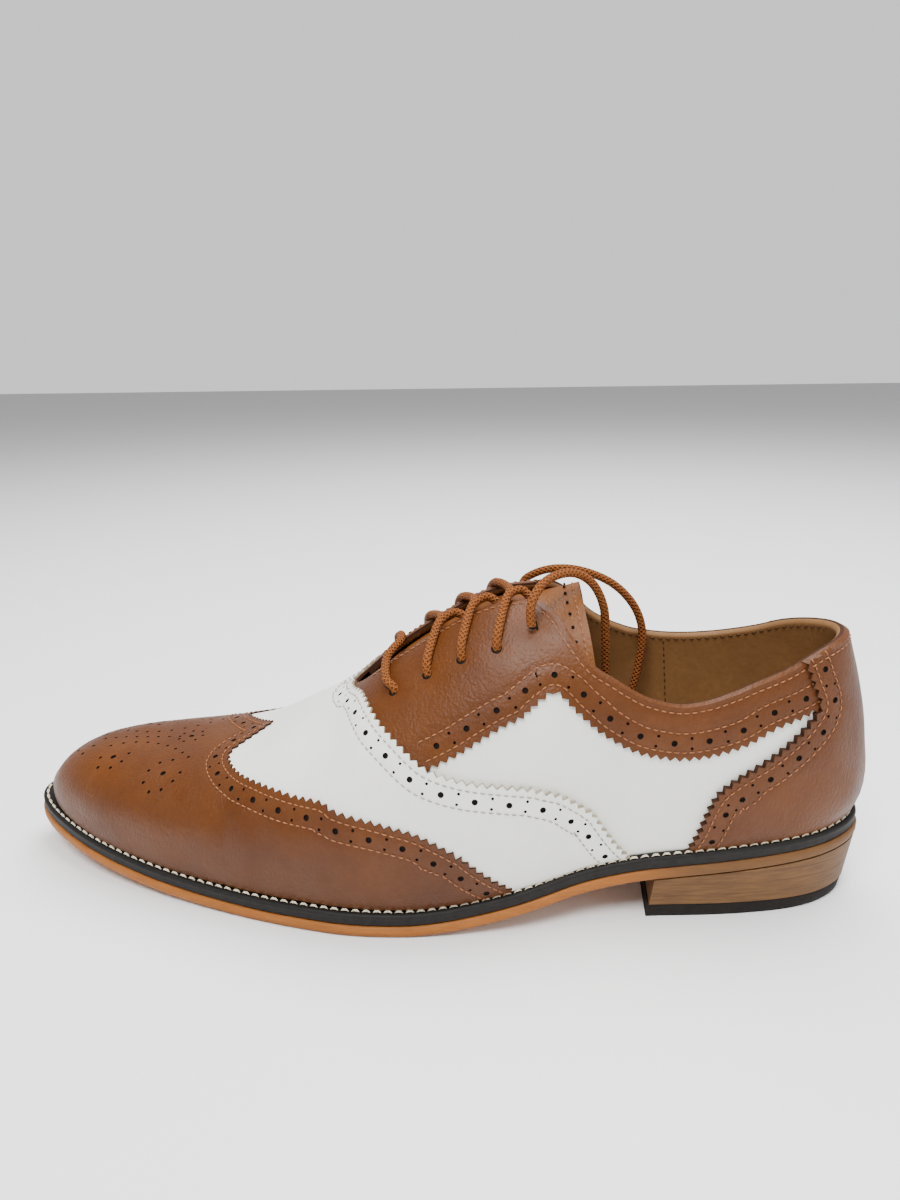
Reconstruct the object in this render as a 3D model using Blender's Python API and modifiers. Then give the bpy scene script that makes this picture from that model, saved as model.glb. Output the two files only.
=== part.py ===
"""A left spectator shoe: a full-brogue oxford of two leathers on a welted sole with a stacked heel.

The toe points along -X, the outer side of the shoe faces -Y and the floor is z = 0. Every size is in metres.
Lengths along the shoe are measured from the tip of the sole's toe and moved to the frame at the end.
"""

import math

import bmesh
import bpy
from mathutils import Vector

# Sole
SOLE_LENGTH = 0.308
BALL_WIDTH = 0.102
TOE_SPRING = 0.013
TREAD_FRONT = 0.112
TREAD_BACK = 0.150
HEEL_BREAST = 0.236
HEEL_HEIGHT = 0.016
HEEL_RISE = 0.0065
OUTSOLE_THICKNESS = 0.0038
OUTSOLE_ROUNDING = 0.0008
WELT_THICKNESS = 0.0040
WELT_INSET = 0.0006
WELT_ROUNDING = 0.0012
WELT_DEPTH = 0.0140
TOP_PIECE_THICKNESS = 0.0050
HEEL_INSET = 0.0010
HEEL_TAPER = 0.0016
INSOLE_THICKNESS = 0.0030
INSOLE_INSET = 0.0085

# Upper
UPPER_TOE = 0.0058
UPPER_BACK = 0.0018
FEATHER_INSET = 0.0055
SIDE_BULGE = 0.0035
WIDEST_RISE = 0.0220
INSTEP_RISE = 0.0960
COLLAR_RISE = 0.0663
BACK_LEAN = 0.0115
RIDGE_SHIFT = 0.0030
UPPER_WALL = 0.0020
THROAT_START = 0.1300
THROAT_END = 0.1960
THROAT_ROUNDING = 0.0120
THROAT_OUTER_GAP = 0.0105
THROAT_INNER_GAP = 0.0035
FADE_START = 0.2350

# Panels over the upper
WING_THICKNESS = 0.0016
VAMP_THICKNESS = 0.0012
FACING_THICKNESS = 0.0009
COUNTER_THICKNESS = 0.0013
FACING_FRONT = 0.1375
FACING_CLEARANCE = 0.014
WING_FULL = 0.066

# Tongue and laces
TONGUE_THICKNESS = 0.0018
TONGUE_WIDTH = 0.0500
TONGUE_START = 0.1200
TONGUE_TIP = 0.2085
TONGUE_CURVE = 0.0070
LACE_DIAMETER = 0.0030
EYELET_FIRST = 0.1490
EYELET_PITCH = 0.0114
BAR_COUNT = 4
BAR_HEIGHT = 0.0036

# Clearances
GAP = 0.0003
PANEL_GAP = 0.0007
EDGE_GAP = 0.0005
TONGUE_GAP = 0.0008

HALF_BALL = BALL_WIDTH / 2
UPPER_START = UPPER_TOE
UPPER_END = SOLE_LENGTH - UPPER_BACK
UPPER_LENGTH = UPPER_END - UPPER_START

# The sole's outline: along is a share of the length, the two halves are shares of half the ball width.
OUTLINE = {
    "along": (0, 0.05, 0.11, 0.165, 0.22, 0.32, 0.38, 0.44, 0.50, 0.56, 0.63, 0.69, 0.766, 0.85, 0.925, 0.965, 1),
    "outer": (0, 0.365, 0.55, 0.67, 0.765, 0.90, 0.963, 1.0, 0.98, 0.93, 0.845, 0.725, 0.643, 0.568, 0.455, 0.33, 0),
    "inner": (0, 0.355, 0.565, 0.70, 0.80, 0.94, 0.992, 0.98, 0.90, 0.775, 0.655, 0.61, 0.612, 0.61, 0.51, 0.37, 0),
}

# Cross-sections of the last: along is a share of the upper's length. The bulges are shares of SIDE_BULGE,
# widest is a share of WIDEST_RISE, rise a share of INSTEP_RISE, ridge a share of RIDGE_SHIFT,
# and fullness is the exponent of the curve from the widest line to the ridge.
SECTIONS = {
    "along": (0, 0.01, 0.03, 0.06, 0.105, 0.15, 0.22, 0.29, 0.36, 0.41, 0.46, 0.52, 0.58, 0.64, 0.72, 0.85, 1),
    "outer": (0, 0.10, 0.20, 0.30, 0.40, 0.50, 0.60, 0.70, 0.80, 0.95, 1.0, 1.1, 1.1, 1.0, 0.90, 0.70, 0),
    "inner": (0, 0.10, 0.20, 0.30, 0.40, 0.50, 0.60, 0.75, 0.95, 1.1, 1.4, 1.6, 1.7, 1.6, 1.4, 0.80, 0),
    "widest": (0.20, 0.24, 0.30, 0.36, 0.46, 0.55, 0.62, 0.68, 0.76, 0.84, 0.90, 0.96, 1.0, 1.0, 1.0, 0.95, 0.80),
    "rise": (
        0.055, 0.108, 0.181, 0.244, 0.286, 0.310, 0.349, 0.403, 0.524,
        0.616, 0.763, 0.888, 0.958, 0.947, 0.955, 0.952, 0.940,
    ),
    "ridge": (0, 0, 0, 0.05, 0.15, 0.3, 0.5, 0.7, 0.9, 1.0, 1.0, 1.0, 0.9, 0.7, 0.4, 0.1, 0),
    "fullness": (2.3, 2.3, 2.3, 2.4, 2.55, 2.6, 2.55, 2.4, 2.1, 1.95, 1.85, 1.85, 1.9, 2.0, 2.15, 2.2, 2.2),
}

# The topline: rises above the feather edge as shares of COLLAR_RISE.
TOPLINE = {
    "along": (0.632, 0.642, 0.658, 0.675, 0.694, 0.714, 0.731, 0.75, 0.78, 0.807, 0.835, 0.865, 0.90, 0.945, 1),
    "outer": (1.335, 1.31, 1.25, 1.14, 1.03, 0.96, 0.90, 0.845, 0.80, 0.80, 0.825, 0.86, 0.895, 0.95, 0.975),
    "inner": (1.375, 1.36, 1.29, 1.185, 1.065, 0.985, 0.935, 0.895, 0.865, 0.852, 0.85, 0.86, 0.885, 0.935, 0.975),
}

# The back seam in profile: rise is a share of COLLAR_RISE, lean a share of BACK_LEAN, towards the toe.
BACK_SEAM = {
    "rise": (0, 0.12, 0.24, 0.37, 0.55, 0.75, 0.89, 1.0, 1.45),
    "lean": (0.19, 0.02, 0, 0.11, 0.28, 0.57, 0.82, 1.0, 1.75),
}

# Panel edges that run from the feather edge to the top edge: height is the share of the way up the girth,
# from 0 at the feather edge to 1 at the ridge, the throat or the topline, and the others are shares of the
# upper's length.
GIRTH_EDGES = {
    "height": (0.06, 0.1, 0.2, 0.3, 0.35, 0.4, 0.45, 0.5, 0.6, 0.7, 0.8, 0.86, 0.92, 0.97, 1),
    "wing_outer": (
        0.611, 0.600, 0.555, 0.513, 0.480, 0.443, 0.404, 0.364, 0.319, 0.289, 0.271, 0.269, 0.280, 0.294, 0.304,
    ),
    "wing_inner": (
        0.606, 0.590, 0.550, 0.500, 0.466, 0.427, 0.380, 0.330, 0.267, 0.244, 0.251, 0.262, 0.277, 0.294, 0.304,
    ),
    "vamp": (
        0.736, 0.726, 0.696, 0.663, 0.618, 0.573, 0.541, 0.518, 0.490, 0.467, 0.451, 0.443, 0.433, 0.418, 0.411,
    ),
}

# The lower edge of the facings: along is a share of the upper's length, height as above.
FACING_EDGE = {
    "along": (
        0.497, 0.522, 0.557, 0.580, 0.603, 0.625, 0.643, 0.653, 0.670, 0.689,
        0.713, 0.736, 0.763, 0.786, 0.810, 0.833, 0.858, 0.886, 0.918, 0.946,
    ),
    "height": (
        0.474, 0.479, 0.491, 0.508, 0.527, 0.545, 0.612, 0.651, 0.655, 0.641,
        0.586, 0.541, 0.512, 0.495, 0.491, 0.501, 0.525, 0.587, 0.607, 0.624,
    ),
}

# The front edge of the counter, with the same columns.
COUNTER_EDGE = {
    "height": (0.05, 0.1, 0.2, 0.3, 0.4, 0.5, 0.6, 0.65, 0.7, 0.8, 0.9, 1),
    "along": (0.799, 0.805, 0.823, 0.843, 0.876, 0.904, 0.928, 0.935, 0.934, 0.929, 0.925, 0.920),
}

# The two loose lace ends, in shares of the sole's length from its toe, of half the ball width and of the
# instep rise above the floor.
LACE_ROUTES = {
    "lace_end_lateral": (
        (0.630, -0.422, 1.041), (0.630, -0.412, 1.120), (0.644, -0.294, 1.178), (0.670, -0.147, 1.187),
        (0.693, -0.059, 1.140), (0.707, -0.020, 1.049), (0.711, 0.020, 0.927), (0.713, 0.059, 0.778),
        (0.712, 0.080, 0.640), (0.705, 0.105, 0.480), (0.688, 0.130, 0.350), (0.664, 0.150, 0.290),
    ),
    "lace_end_medial": (
        (0.613, 0.417, 1.033), (0.620, 0.392, 1.088), (0.648, 0.367, 1.128), (0.683, 0.382, 1.122),
        (0.720, 0.402, 1.071), (0.746, 0.418, 0.986), (0.758, 0.422, 0.886), (0.757, 0.418, 0.768),
        (0.749, 0.400, 0.640), (0.734, 0.380, 0.500), (0.710, 0.350, 0.380), (0.675, 0.310, 0.300),
    ),
}
ROUTE_STEPS = 2

OUTER, INNER = -1, 1
SIDE_COLUMN = {OUTER: "outer", INNER: "inner"}
LOWER_SHARE = 0.2
UPPER_ROWS = 10
WELD = 1e-6


def table_value(table, key, column, at):
    """A smooth curve through the table's rows, with the slope at a row taken from its neighbours."""
    xs = table[key]
    ys = table[column]
    at = min(max(at, xs[0]), xs[-1])
    row = max(i for i in range(len(xs) - 1) if xs[i] <= at)

    def slope(i):
        before = max(i - 1, 0)
        after = min(i + 1, len(xs) - 1)
        return (ys[after] - ys[before]) / (xs[after] - xs[before])

    span = xs[row + 1] - xs[row]
    t = (at - xs[row]) / span
    rising = 3 * t * t - 2 * t**3
    start = t**3 - 2 * t * t + t
    end = t**3 - t * t
    value = ys[row] * (1 - rising) + ys[row + 1] * rising
    return value + span * (start * slope(row) + end * slope(row + 1))


def end_angle(share):
    """Turns a share of the length into an angle, in which a round end is a straight line."""
    return math.acos(1 - 2 * min(max(share, 0), 1)) / math.pi


def with_angles(table):
    """The table with its stations as end angles, so that its curves round off at toe and heel."""
    return {**table, "angle": tuple(end_angle(share) for share in table["along"])}


OUTLINE = with_angles(OUTLINE)
SECTIONS = with_angles(SECTIONS)


def outline_share(side, share):
    return max(table_value(OUTLINE, "angle", SIDE_COLUMN[side], end_angle(share)), 0)


def section_share(column, share):
    return table_value(SECTIONS, "angle", column, end_angle(share))


def tread_height(x):
    """The underside of the outsole above the floor, at x from the toe."""
    if x < TREAD_FRONT:
        return TOE_SPRING * ((TREAD_FRONT - x) / TREAD_FRONT) ** 2
    if x <= TREAD_BACK:
        return 0.0
    seat_slope = HEEL_RISE / (SOLE_LENGTH - HEEL_BREAST)
    if x > HEEL_BREAST:
        return HEEL_HEIGHT + seat_slope * (x - HEEL_BREAST)
    shank = HEEL_BREAST - TREAD_BACK
    t = (x - TREAD_BACK) / shank
    return HEEL_HEIGHT * (3 * t * t - 2 * t**3) + seat_slope * shank * (t**3 - t * t)


def welt_foot(x):
    return tread_height(x) + OUTSOLE_THICKNESS + GAP


def welt_top(x):
    return welt_foot(x) + WELT_THICKNESS


def feather_height(x):
    """The lower edge of the upper, which stands on the welt."""
    return welt_top(x) + GAP


class Section:
    """One cross-section of the last, at a share of the upper's length."""

    def __init__(self, share):
        self.share = share
        self.x = UPPER_START + share * UPPER_LENGTH
        self.foot = feather_height(self.x)
        self.widest_rise = WIDEST_RISE * section_share("widest", share)
        self.rise = INSTEP_RISE * section_share("rise", share)
        self.widest_rise = min(self.widest_rise, 0.7 * self.rise)
        self.ridge = RIDGE_SHIFT * section_share("ridge", share)
        self.fullness = section_share("fullness", share)

    def v_at_height(self, side, height):
        """The v at a share of the way up to the top edge."""
        if height < LOWER_SHARE:
            return height
        return LOWER_SHARE + (self.top(side) - LOWER_SHARE) * (height - LOWER_SHARE) / (1 - LOWER_SHARE)

    def at_height(self, side, height):
        return self.point(side, self.v_at_height(side, height))

    def feather(self, side):
        return outline_share(side, self.share) * (HALF_BALL - FEATHER_INSET)

    def widest(self, side):
        bulge = SIDE_BULGE * section_share(SIDE_COLUMN[side], self.share)
        return self.feather(side) + max(bulge, 0)

    def span(self, side):
        return max(self.widest(side) - side * self.ridge, 1e-9)

    def point(self, side, v):
        """The surface at v, which runs from 0 at the feather edge to 1 on the ridge."""
        if v < LOWER_SHARE:
            turn = v / LOWER_SHARE * math.pi / 2
            bulge = self.widest(side) - self.feather(side)
            y = self.feather(side) + bulge * math.sin(turn)
            rise = self.widest_rise * (1 - math.cos(turn))
            return self.placed(side * y, rise)
        turn = (v - LOWER_SHARE) / (1 - LOWER_SHARE) * math.pi / 2
        y = self.ridge + side * self.span(side) * max(math.cos(turn), 0) ** (2 / self.fullness)
        rise = self.widest_rise + (self.rise - self.widest_rise) * math.sin(turn) ** (2 / self.fullness)
        return self.placed(y, rise)

    def placed(self, y, rise):
        """The point in the frame, leaning with the back seam near the heel."""
        lean = BACK_LEAN * table_value(BACK_SEAM, "rise", "lean", rise / COLLAR_RISE)
        fade = max(self.x - FADE_START, 0) / (UPPER_END - FADE_START)
        return Vector((self.x - lean * fade**2 - SOLE_LENGTH / 2, y, self.foot + rise))

    def v_at_gap(self, side, gap):
        """The v where the surface comes within gap of the ridge line."""
        turn = math.acos(min(gap / self.span(side), 1) ** (self.fullness / 2))
        return LOWER_SHARE + (1 - LOWER_SHARE) * turn / (math.pi / 2)

    def v_at_rise(self, rise):
        part = (rise - self.widest_rise) / (self.rise - self.widest_rise)
        turn = math.asin(min(max(part, 0), 1) ** (self.fullness / 2))
        return LOWER_SHARE + (1 - LOWER_SHARE) * turn / (math.pi / 2)

    def top(self, side):
        """The v of the upper's top edge: on the ridge in front, then the throat, then the topline."""
        if self.x <= THROAT_START:
            return 1.0
        gap = THROAT_OUTER_GAP if side == OUTER else THROAT_INNER_GAP
        opened = min((self.x - THROAT_START) / THROAT_ROUNDING, 1)
        if self.x > THROAT_END:
            rise = COLLAR_RISE * table_value(TOPLINE, "along", SIDE_COLUMN[side], self.share)
            return self.v_at_rise(rise)
        return self.v_at_gap(side, gap * math.sqrt(1 - (1 - opened) ** 2))


def section_at(x):
    return Section((x - UPPER_START) / UPPER_LENGTH)


def off_surface(x, side, v, distance):
    """A point at a distance outwards from the last's surface."""
    step = 0.0005
    v = min(v, 0.995)
    along = section_at(x + step).point(side, v) - section_at(x - step).point(side, v)
    up = section_at(x).point(side, v + 0.005) - section_at(x).point(side, v - 0.005)
    normal = (along.cross(up) * -side).normalized()
    return section_at(x).point(side, v) + normal * distance


def end_steps(count, reach):
    """Distances from a round end, closer together towards it."""
    return [reach * (i / count) ** 2 for i in range(count)]


def even_steps(start, end, count):
    return [start + (end - start) * i / count for i in range(count + 1)]


def upper_stations():
    """Stations along the upper, in metres from the sole's toe, dense at both ends and round the throat."""
    reach = 0.027
    toe = [UPPER_START + d for d in end_steps(7, reach)]
    heel = [UPPER_END - d for d in reversed(end_steps(7, reach))]
    vamp = even_steps(UPPER_START + reach, THROAT_START, 11)
    throat = [THROAT_START + THROAT_ROUNDING * part for part in (0.12, 0.45)]
    facing = even_steps(THROAT_START + THROAT_ROUNDING, THROAT_END, 6)
    corner = even_steps(THROAT_END, THROAT_END + 0.030, 6)[1:]
    quarter = even_steps(THROAT_END + 0.030, UPPER_END - reach, 6)[1:]
    return toe + vamp + throat + facing + corner + quarter + heel


def surface_mesh(name, grids, placed=Section.at_height):
    """An open mesh on the last, from one grid of (x, height) spots per side, joined where the sides meet.

    Each square of the grid is split along the diagonal that lies nearer the true surface.
    """
    mesh = bmesh.new()
    for side, columns in grids.items():
        verts = [[mesh.verts.new(placed(section_at(x), side, h)) for x, h in column] for column in columns]
        for i in range(len(columns) - 1):
            for j in range(len(columns[i]) - 1):
                corners = [verts[i][j], verts[i + 1][j], verts[i + 1][j + 1], verts[i][j + 1]]
                spots = [columns[i][j], columns[i + 1][j], columns[i + 1][j + 1], columns[i][j + 1]]
                x, h = (sum(values) / 4 for values in zip(*spots))
                centre = placed(section_at(x), side, h)
                errors = [((corners[k].co + corners[k + 2].co) / 2 - centre).length for k in (0, 1)]
                first = 0 if errors[0] < errors[1] else 1
                for k in (first, first + 2):
                    triangle = [corners[k % 4], corners[(k + 1) % 4], corners[(k + 2) % 4]]
                    mesh.faces.new(triangle if side == OUTER else triangle[::-1])
    bmesh.ops.remove_doubles(mesh, verts=mesh.verts, dist=WELD)
    return mesh_data(name, mesh)


def mesh_data(name, mesh):
    mesh.normal_update()
    data = bpy.data.meshes.new(name)
    mesh.to_mesh(data)
    mesh.free()
    return data


def new_material(name, colour, roughness):
    material = bpy.data.materials.new(name)
    material.use_nodes = True
    shader = material.node_tree.nodes["Principled BSDF"]
    shader.inputs["Base Color"].default_value = (*colour, 1)
    shader.inputs["Roughness"].default_value = roughness
    return material


def new_object(name, data, material, collection):
    obj = bpy.data.objects.new(name, data)
    collection.objects.link(obj)
    data.materials.append(material)
    if isinstance(data, bpy.types.Mesh):
        data.shade_smooth()
        data.set_sharp_from_angle(angle=math.radians(40))
    return obj


def solidified(obj, thickness, outwards):
    solidify = obj.modifiers.new("Wall", "SOLIDIFY")
    solidify.thickness = thickness
    solidify.offset = 1 if outwards else -1
    solidify.use_even_offset = True
    solidify.use_quality_normals = True


def moved_out(data, distance):
    """Moves every point of an open surface along its normal."""
    mesh = bmesh.new()
    mesh.from_mesh(data)
    mesh.normal_update()
    normals = [vert.normal.copy() for vert in mesh.verts]
    for vert, normal in zip(mesh.verts, normals):
        vert.co += normal * distance
    mesh.to_mesh(data)
    mesh.free()


def make_upper(material, parts):
    """The whole upper as one wall, open underneath, at the throat and at the collar."""
    heights = even_steps(0, 1, UPPER_ROWS)
    grids = {OUTER: [], INNER: []}
    for x in upper_stations():
        for columns in grids.values():
            columns.append([(x, height) for height in heights])
    upper = new_object("upper", surface_mesh("upper", grids), material, parts)
    solidified(upper, UPPER_WALL, outwards=False)


def make_panel(name, grids, thickness, material, parts):
    """A leather panel over the upper, on the same surface as its wall."""
    data = surface_mesh(name, grids)
    moved_out(data, PANEL_GAP)
    panel = new_object(name, data, material, parts)
    solidified(panel, thickness, outwards=True)


def panel_x(share):
    return UPPER_START + share * UPPER_LENGTH


def edge_x(column, height):
    """How far back a panel's edge lies at a height."""
    return panel_x(table_value(GIRTH_EDGES, "height", column, height))


def make_wing_cap(material, parts):
    """The toe cap: full stations at the toe, then columns drawn out to its winged edge."""
    full = [x for x in upper_stations() if x < WING_FULL]
    drawn = 9
    heights = GIRTH_EDGES["height"]
    grids = {OUTER: [], INNER: []}
    for side, columns in grids.items():
        for x in full:
            columns.append([(x, height) for height in heights])
        for i in range(1, drawn + 1):
            column = []
            for height in heights:
                edge = edge_x("wing_" + SIDE_COLUMN[side], height)
                column.append((full[-1] + (edge - full[-1]) * i / drawn, height))
            columns.append(column)
    make_panel("wing_cap", grids, WING_THICKNESS, material, parts)


def make_vamp(material, parts):
    """The vamp, from behind the toe cap to its edge over the facings and quarters."""
    drawn = 8
    grids = {OUTER: [], INNER: []}
    for side, columns in grids.items():
        for i in range(drawn + 1):
            column = []
            for height in GIRTH_EDGES["height"]:
                front = edge_x("wing_" + SIDE_COLUMN[side], height) + EDGE_GAP
                column.append((front + (edge_x("vamp", height) - front) * i / drawn, height))
            columns.append(column)
    make_panel("vamp", grids, VAMP_THICKNESS, material, parts)


def vamp_edge_height(x):
    """The height at which the vamp's rear edge stands at x."""
    low, high = 0.0, 1.0
    for _ in range(30):
        middle = (low + high) / 2
        if edge_x("vamp", middle) > x:
            low = middle
        else:
            high = middle
    return low


def counter_x(height):
    return panel_x(table_value(COUNTER_EDGE, "height", "along", height))


def make_facing(side, material, parts):
    """One facing with its strip along the topline, from the vamp to the counter."""
    rows = 5
    last_full = 0.276
    xs = [FACING_FRONT] + [x for x in upper_stations() if FACING_FRONT + 0.002 < x < last_full]
    columns = []
    for x in xs + [counter_x(0.8)]:
        low = table_value(FACING_EDGE, "along", "height", section_at(x).share)
        low = max(low, vamp_edge_height(x) + FACING_CLEARANCE)
        columns.append([(x, height) for height in even_steps(low, 1, rows)])
    columns[-1] = [(counter_x(height) - 2 * EDGE_GAP, height) for _, height in columns[-1]]
    name = "facing_lateral" if side == OUTER else "facing_medial"
    make_panel(name, {side: columns}, FACING_THICKNESS, material, parts)


def make_counter(material, parts):
    """The heel counter, with both sides joined at the back seam."""
    drawn = 9
    grids = {OUTER: [], INNER: []}
    for side, columns in grids.items():
        for i in range(drawn + 1):
            back = 1 - (1 - i / drawn) ** 2
            column = []
            for height in COUNTER_EDGE["height"]:
                front = counter_x(height)
                column.append((front + (UPPER_END - front) * back, height))
            columns.append(column)
    make_panel("heel_counter", grids, COUNTER_THICKNESS, material, parts)


def ring(stations, inset, height):
    """A closed outline of the sole, set in from its edge, as pairs of outer and inner points."""
    pairs = []
    for x in stations:
        at = x + inset * (1 - 2 * x / SOLE_LENGTH)
        pair = []
        for side in (OUTER, INNER):
            half = outline_share(side, x / SOLE_LENGTH) * (HALF_BALL - inset)
            pair.append((at - SOLE_LENGTH / 2, side * half, height(at)))
        pairs.append(pair)
    return pairs


def layered(name, rings, closed_ring, material, parts):
    """A solid through stacked outlines. Its ends are capped, or the last outline joins the first as a hoop."""
    mesh = bmesh.new()
    layers = [[[mesh.verts.new(point) for point in pair] for pair in pairs] for pairs in rings]
    followers = layers[1:] + (layers[:1] if closed_ring else [])
    for below, above in zip(layers, followers):
        for i in range(len(below) - 1):
            for k in (0, 1):
                corners = [below[i][k], below[i + 1][k], above[i + 1][k], above[i][k]]
                mesh.faces.new(corners)
        for i in (0, len(below) - 1):
            mesh.faces.new([below[i][0], below[i][1], above[i][1], above[i][0]])
    if not closed_ring:
        for layer in (layers[0], layers[-1]):
            for before, after in zip(layer, layer[1:]):
                mesh.faces.new([before[0], after[0], after[1], before[1]])
    bmesh.ops.remove_doubles(mesh, verts=mesh.verts, dist=WELD)
    bmesh.ops.recalc_face_normals(mesh, faces=mesh.faces)
    return new_object(name, mesh_data(name, mesh), material, parts)


def sole_stations():
    reach = 0.030
    toe = end_steps(6, reach)
    heel = [SOLE_LENGTH - d for d in reversed(end_steps(6, reach))]
    forepart = even_steps(reach, TREAD_FRONT, 6) + even_steps(TREAD_FRONT, TREAD_BACK, 3)[1:]
    shank = even_steps(TREAD_BACK, HEEL_BREAST, 6)[1:]
    seat = even_steps(HEEL_BREAST, SOLE_LENGTH - reach, 3)[1:]
    return toe + forepart + shank + seat + heel


def make_sole(welt_leather, sole_leather, heel_leather, rubber, parts):
    """The outsole, the welt, the stacked heel and its top piece."""
    stations = sole_stations()

    def sole_top(x):
        return tread_height(x) + OUTSOLE_THICKNESS

    outsole = [
        ring(stations, OUTSOLE_ROUNDING, tread_height),
        ring(stations, 0, lambda x: tread_height(x) + OUTSOLE_ROUNDING),
        ring(stations, 0, lambda x: sole_top(x) - OUTSOLE_ROUNDING),
        ring(stations, OUTSOLE_ROUNDING, sole_top),
    ]
    layered("outsole", outsole, False, sole_leather, parts)
    welt = [
        ring(stations, WELT_INSET, welt_foot),
        ring(stations, WELT_INSET, lambda x: welt_top(x) - WELT_ROUNDING),
        ring(stations, WELT_INSET + WELT_ROUNDING, welt_top),
        ring(stations, WELT_INSET + WELT_DEPTH, welt_top),
        ring(stations, WELT_INSET + WELT_DEPTH, welt_foot),
    ]
    layered("welt", welt, True, welt_leather, parts)
    heel = [x for x in stations if x >= HEEL_BREAST]
    stack = [
        ring(heel, HEEL_INSET + HEEL_TAPER, lambda x: TOP_PIECE_THICKNESS + GAP),
        ring(heel, HEEL_INSET, lambda x: tread_height(x) - GAP),
    ]
    layered("heel_stack", stack, False, heel_leather, parts)
    top_piece = [
        ring(heel, HEEL_INSET + 1.5 * HEEL_TAPER, lambda x: 0.0),
        ring(heel, HEEL_INSET + HEEL_TAPER, lambda x: TOP_PIECE_THICKNESS),
    ]
    layered("heel_top_piece", top_piece, False, rubber, parts)
    insole = [
        ring(stations, INSOLE_INSET + WELT_INSET, feather_height),
        ring(stations, INSOLE_INSET + WELT_INSET, lambda x: feather_height(x) + INSOLE_THICKNESS),
    ]
    layered("insole", insole, False, sole_leather, parts)


def make_tongue(material, parts):
    """The tongue, lying under the facings and showing behind them."""
    along = 14
    across = 4
    grids = {OUTER: [], INNER: []}
    for side, columns in grids.items():
        for i in range(along + 1):
            column = []
            for part in even_steps(1, 0, across):
                tip = TONGUE_TIP + TONGUE_CURVE * part**2
                x = TONGUE_START + (tip - TONGUE_START) * i / along
                column.append((x, section_at(x).v_at_gap(side, part * TONGUE_WIDTH / 2)))
            columns.append(column)
    data = surface_mesh("tongue", grids, Section.point)
    moved_out(data, -UPPER_WALL - TONGUE_GAP)
    tongue = new_object("tongue", data, material, parts)
    solidified(tongue, TONGUE_THICKNESS, outwards=False)


def make_lace(name, points, material, parts):
    """A round lace with filled ends through the points."""
    curve = bpy.data.curves.new(name, "CURVE")
    curve.dimensions = "3D"
    spline = curve.splines.new("POLY")
    spline.points.add(len(points) - 1)
    for spot, point in zip(spline.points, points):
        spot.co = (*point, 1)
    curve.bevel_depth = LACE_DIAMETER / 2
    curve.bevel_resolution = 2
    curve.use_fill_caps = True
    new_object(name, curve, material, parts)


def lace_bar(x):
    """Points of one lace bar, from over an outer eyelet to over the inner one."""
    outer = [off_surface(x, OUTER, v, BAR_HEIGHT) for v in (0.72, 0.78, 0.85, 0.93)]
    inner = [off_surface(x, INNER, v, BAR_HEIGHT) for v in (0.99, 0.91, 0.82)]
    return outer + inner


def smooth_route(route):
    """The route's points, with points between them on a smooth curve."""
    corners = [
        Vector((along * SOLE_LENGTH - SOLE_LENGTH / 2, across * HALF_BALL, up * INSTEP_RISE))
        for along, across, up in route
    ]
    points = []
    for i in range(len(corners) - 1):
        before = corners[max(i - 1, 0)]
        start, end = corners[i], corners[i + 1]
        after = corners[min(i + 2, len(corners) - 1)]
        for k in range(ROUTE_STEPS):
            t = k / ROUTE_STEPS
            leaving = (end - before) / 2
            arriving = (after - start) / 2
            rising = 3 * t * t - 2 * t**3
            point = start * (1 - rising) + end * rising
            points.append(point + leaving * (t**3 - 2 * t * t + t) + arriving * (t**3 - t * t))
    return points + [corners[-1]]


def main():
    for obj in list(bpy.data.objects):
        bpy.data.objects.remove(obj)
    parts = bpy.data.collections.new("spectator_shoe")
    bpy.context.scene.collection.children.link(parts)
    white = new_material("white_leather", (0.86, 0.86, 0.83), 0.5)
    brown = new_material("cognac_leather", (0.30, 0.10, 0.03), 0.35)
    welt_leather = new_material("black_welt", (0.02, 0.018, 0.016), 0.5)
    sole_leather = new_material("sole_leather", (0.45, 0.20, 0.06), 0.5)
    heel_leather = new_material("stacked_leather", (0.22, 0.12, 0.06), 0.5)
    rubber = new_material("heel_rubber", (0.03, 0.025, 0.02), 0.7)
    cord = new_material("lace_cord", (0.36, 0.14, 0.04), 0.7)
    make_sole(welt_leather, sole_leather, heel_leather, rubber, parts)
    make_upper(white, parts)
    make_wing_cap(brown, parts)
    make_vamp(white, parts)
    make_facing(OUTER, brown, parts)
    make_facing(INNER, brown, parts)
    make_counter(brown, parts)
    make_tongue(brown, parts)
    for i in range(BAR_COUNT):
        make_lace(f"lace_bar_{i + 1}", lace_bar(EYELET_FIRST + i * EYELET_PITCH), cord, parts)
    for name, route in LACE_ROUTES.items():
        make_lace(name, smooth_route(route), cord, parts)


main()
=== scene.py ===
"""The looks of a left spectator shoe: brown and white leather, punched and gimped, on a welted sole."""

import logging
import math
from collections.abc import Callable
from dataclasses import dataclass, field
from enum import Enum

import bmesh
import bpy
import numpy as np
from mathutils import Matrix, Vector
from mathutils.geometry import delaunay_2d_cdt
from mathutils.kdtree import KDTree


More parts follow.
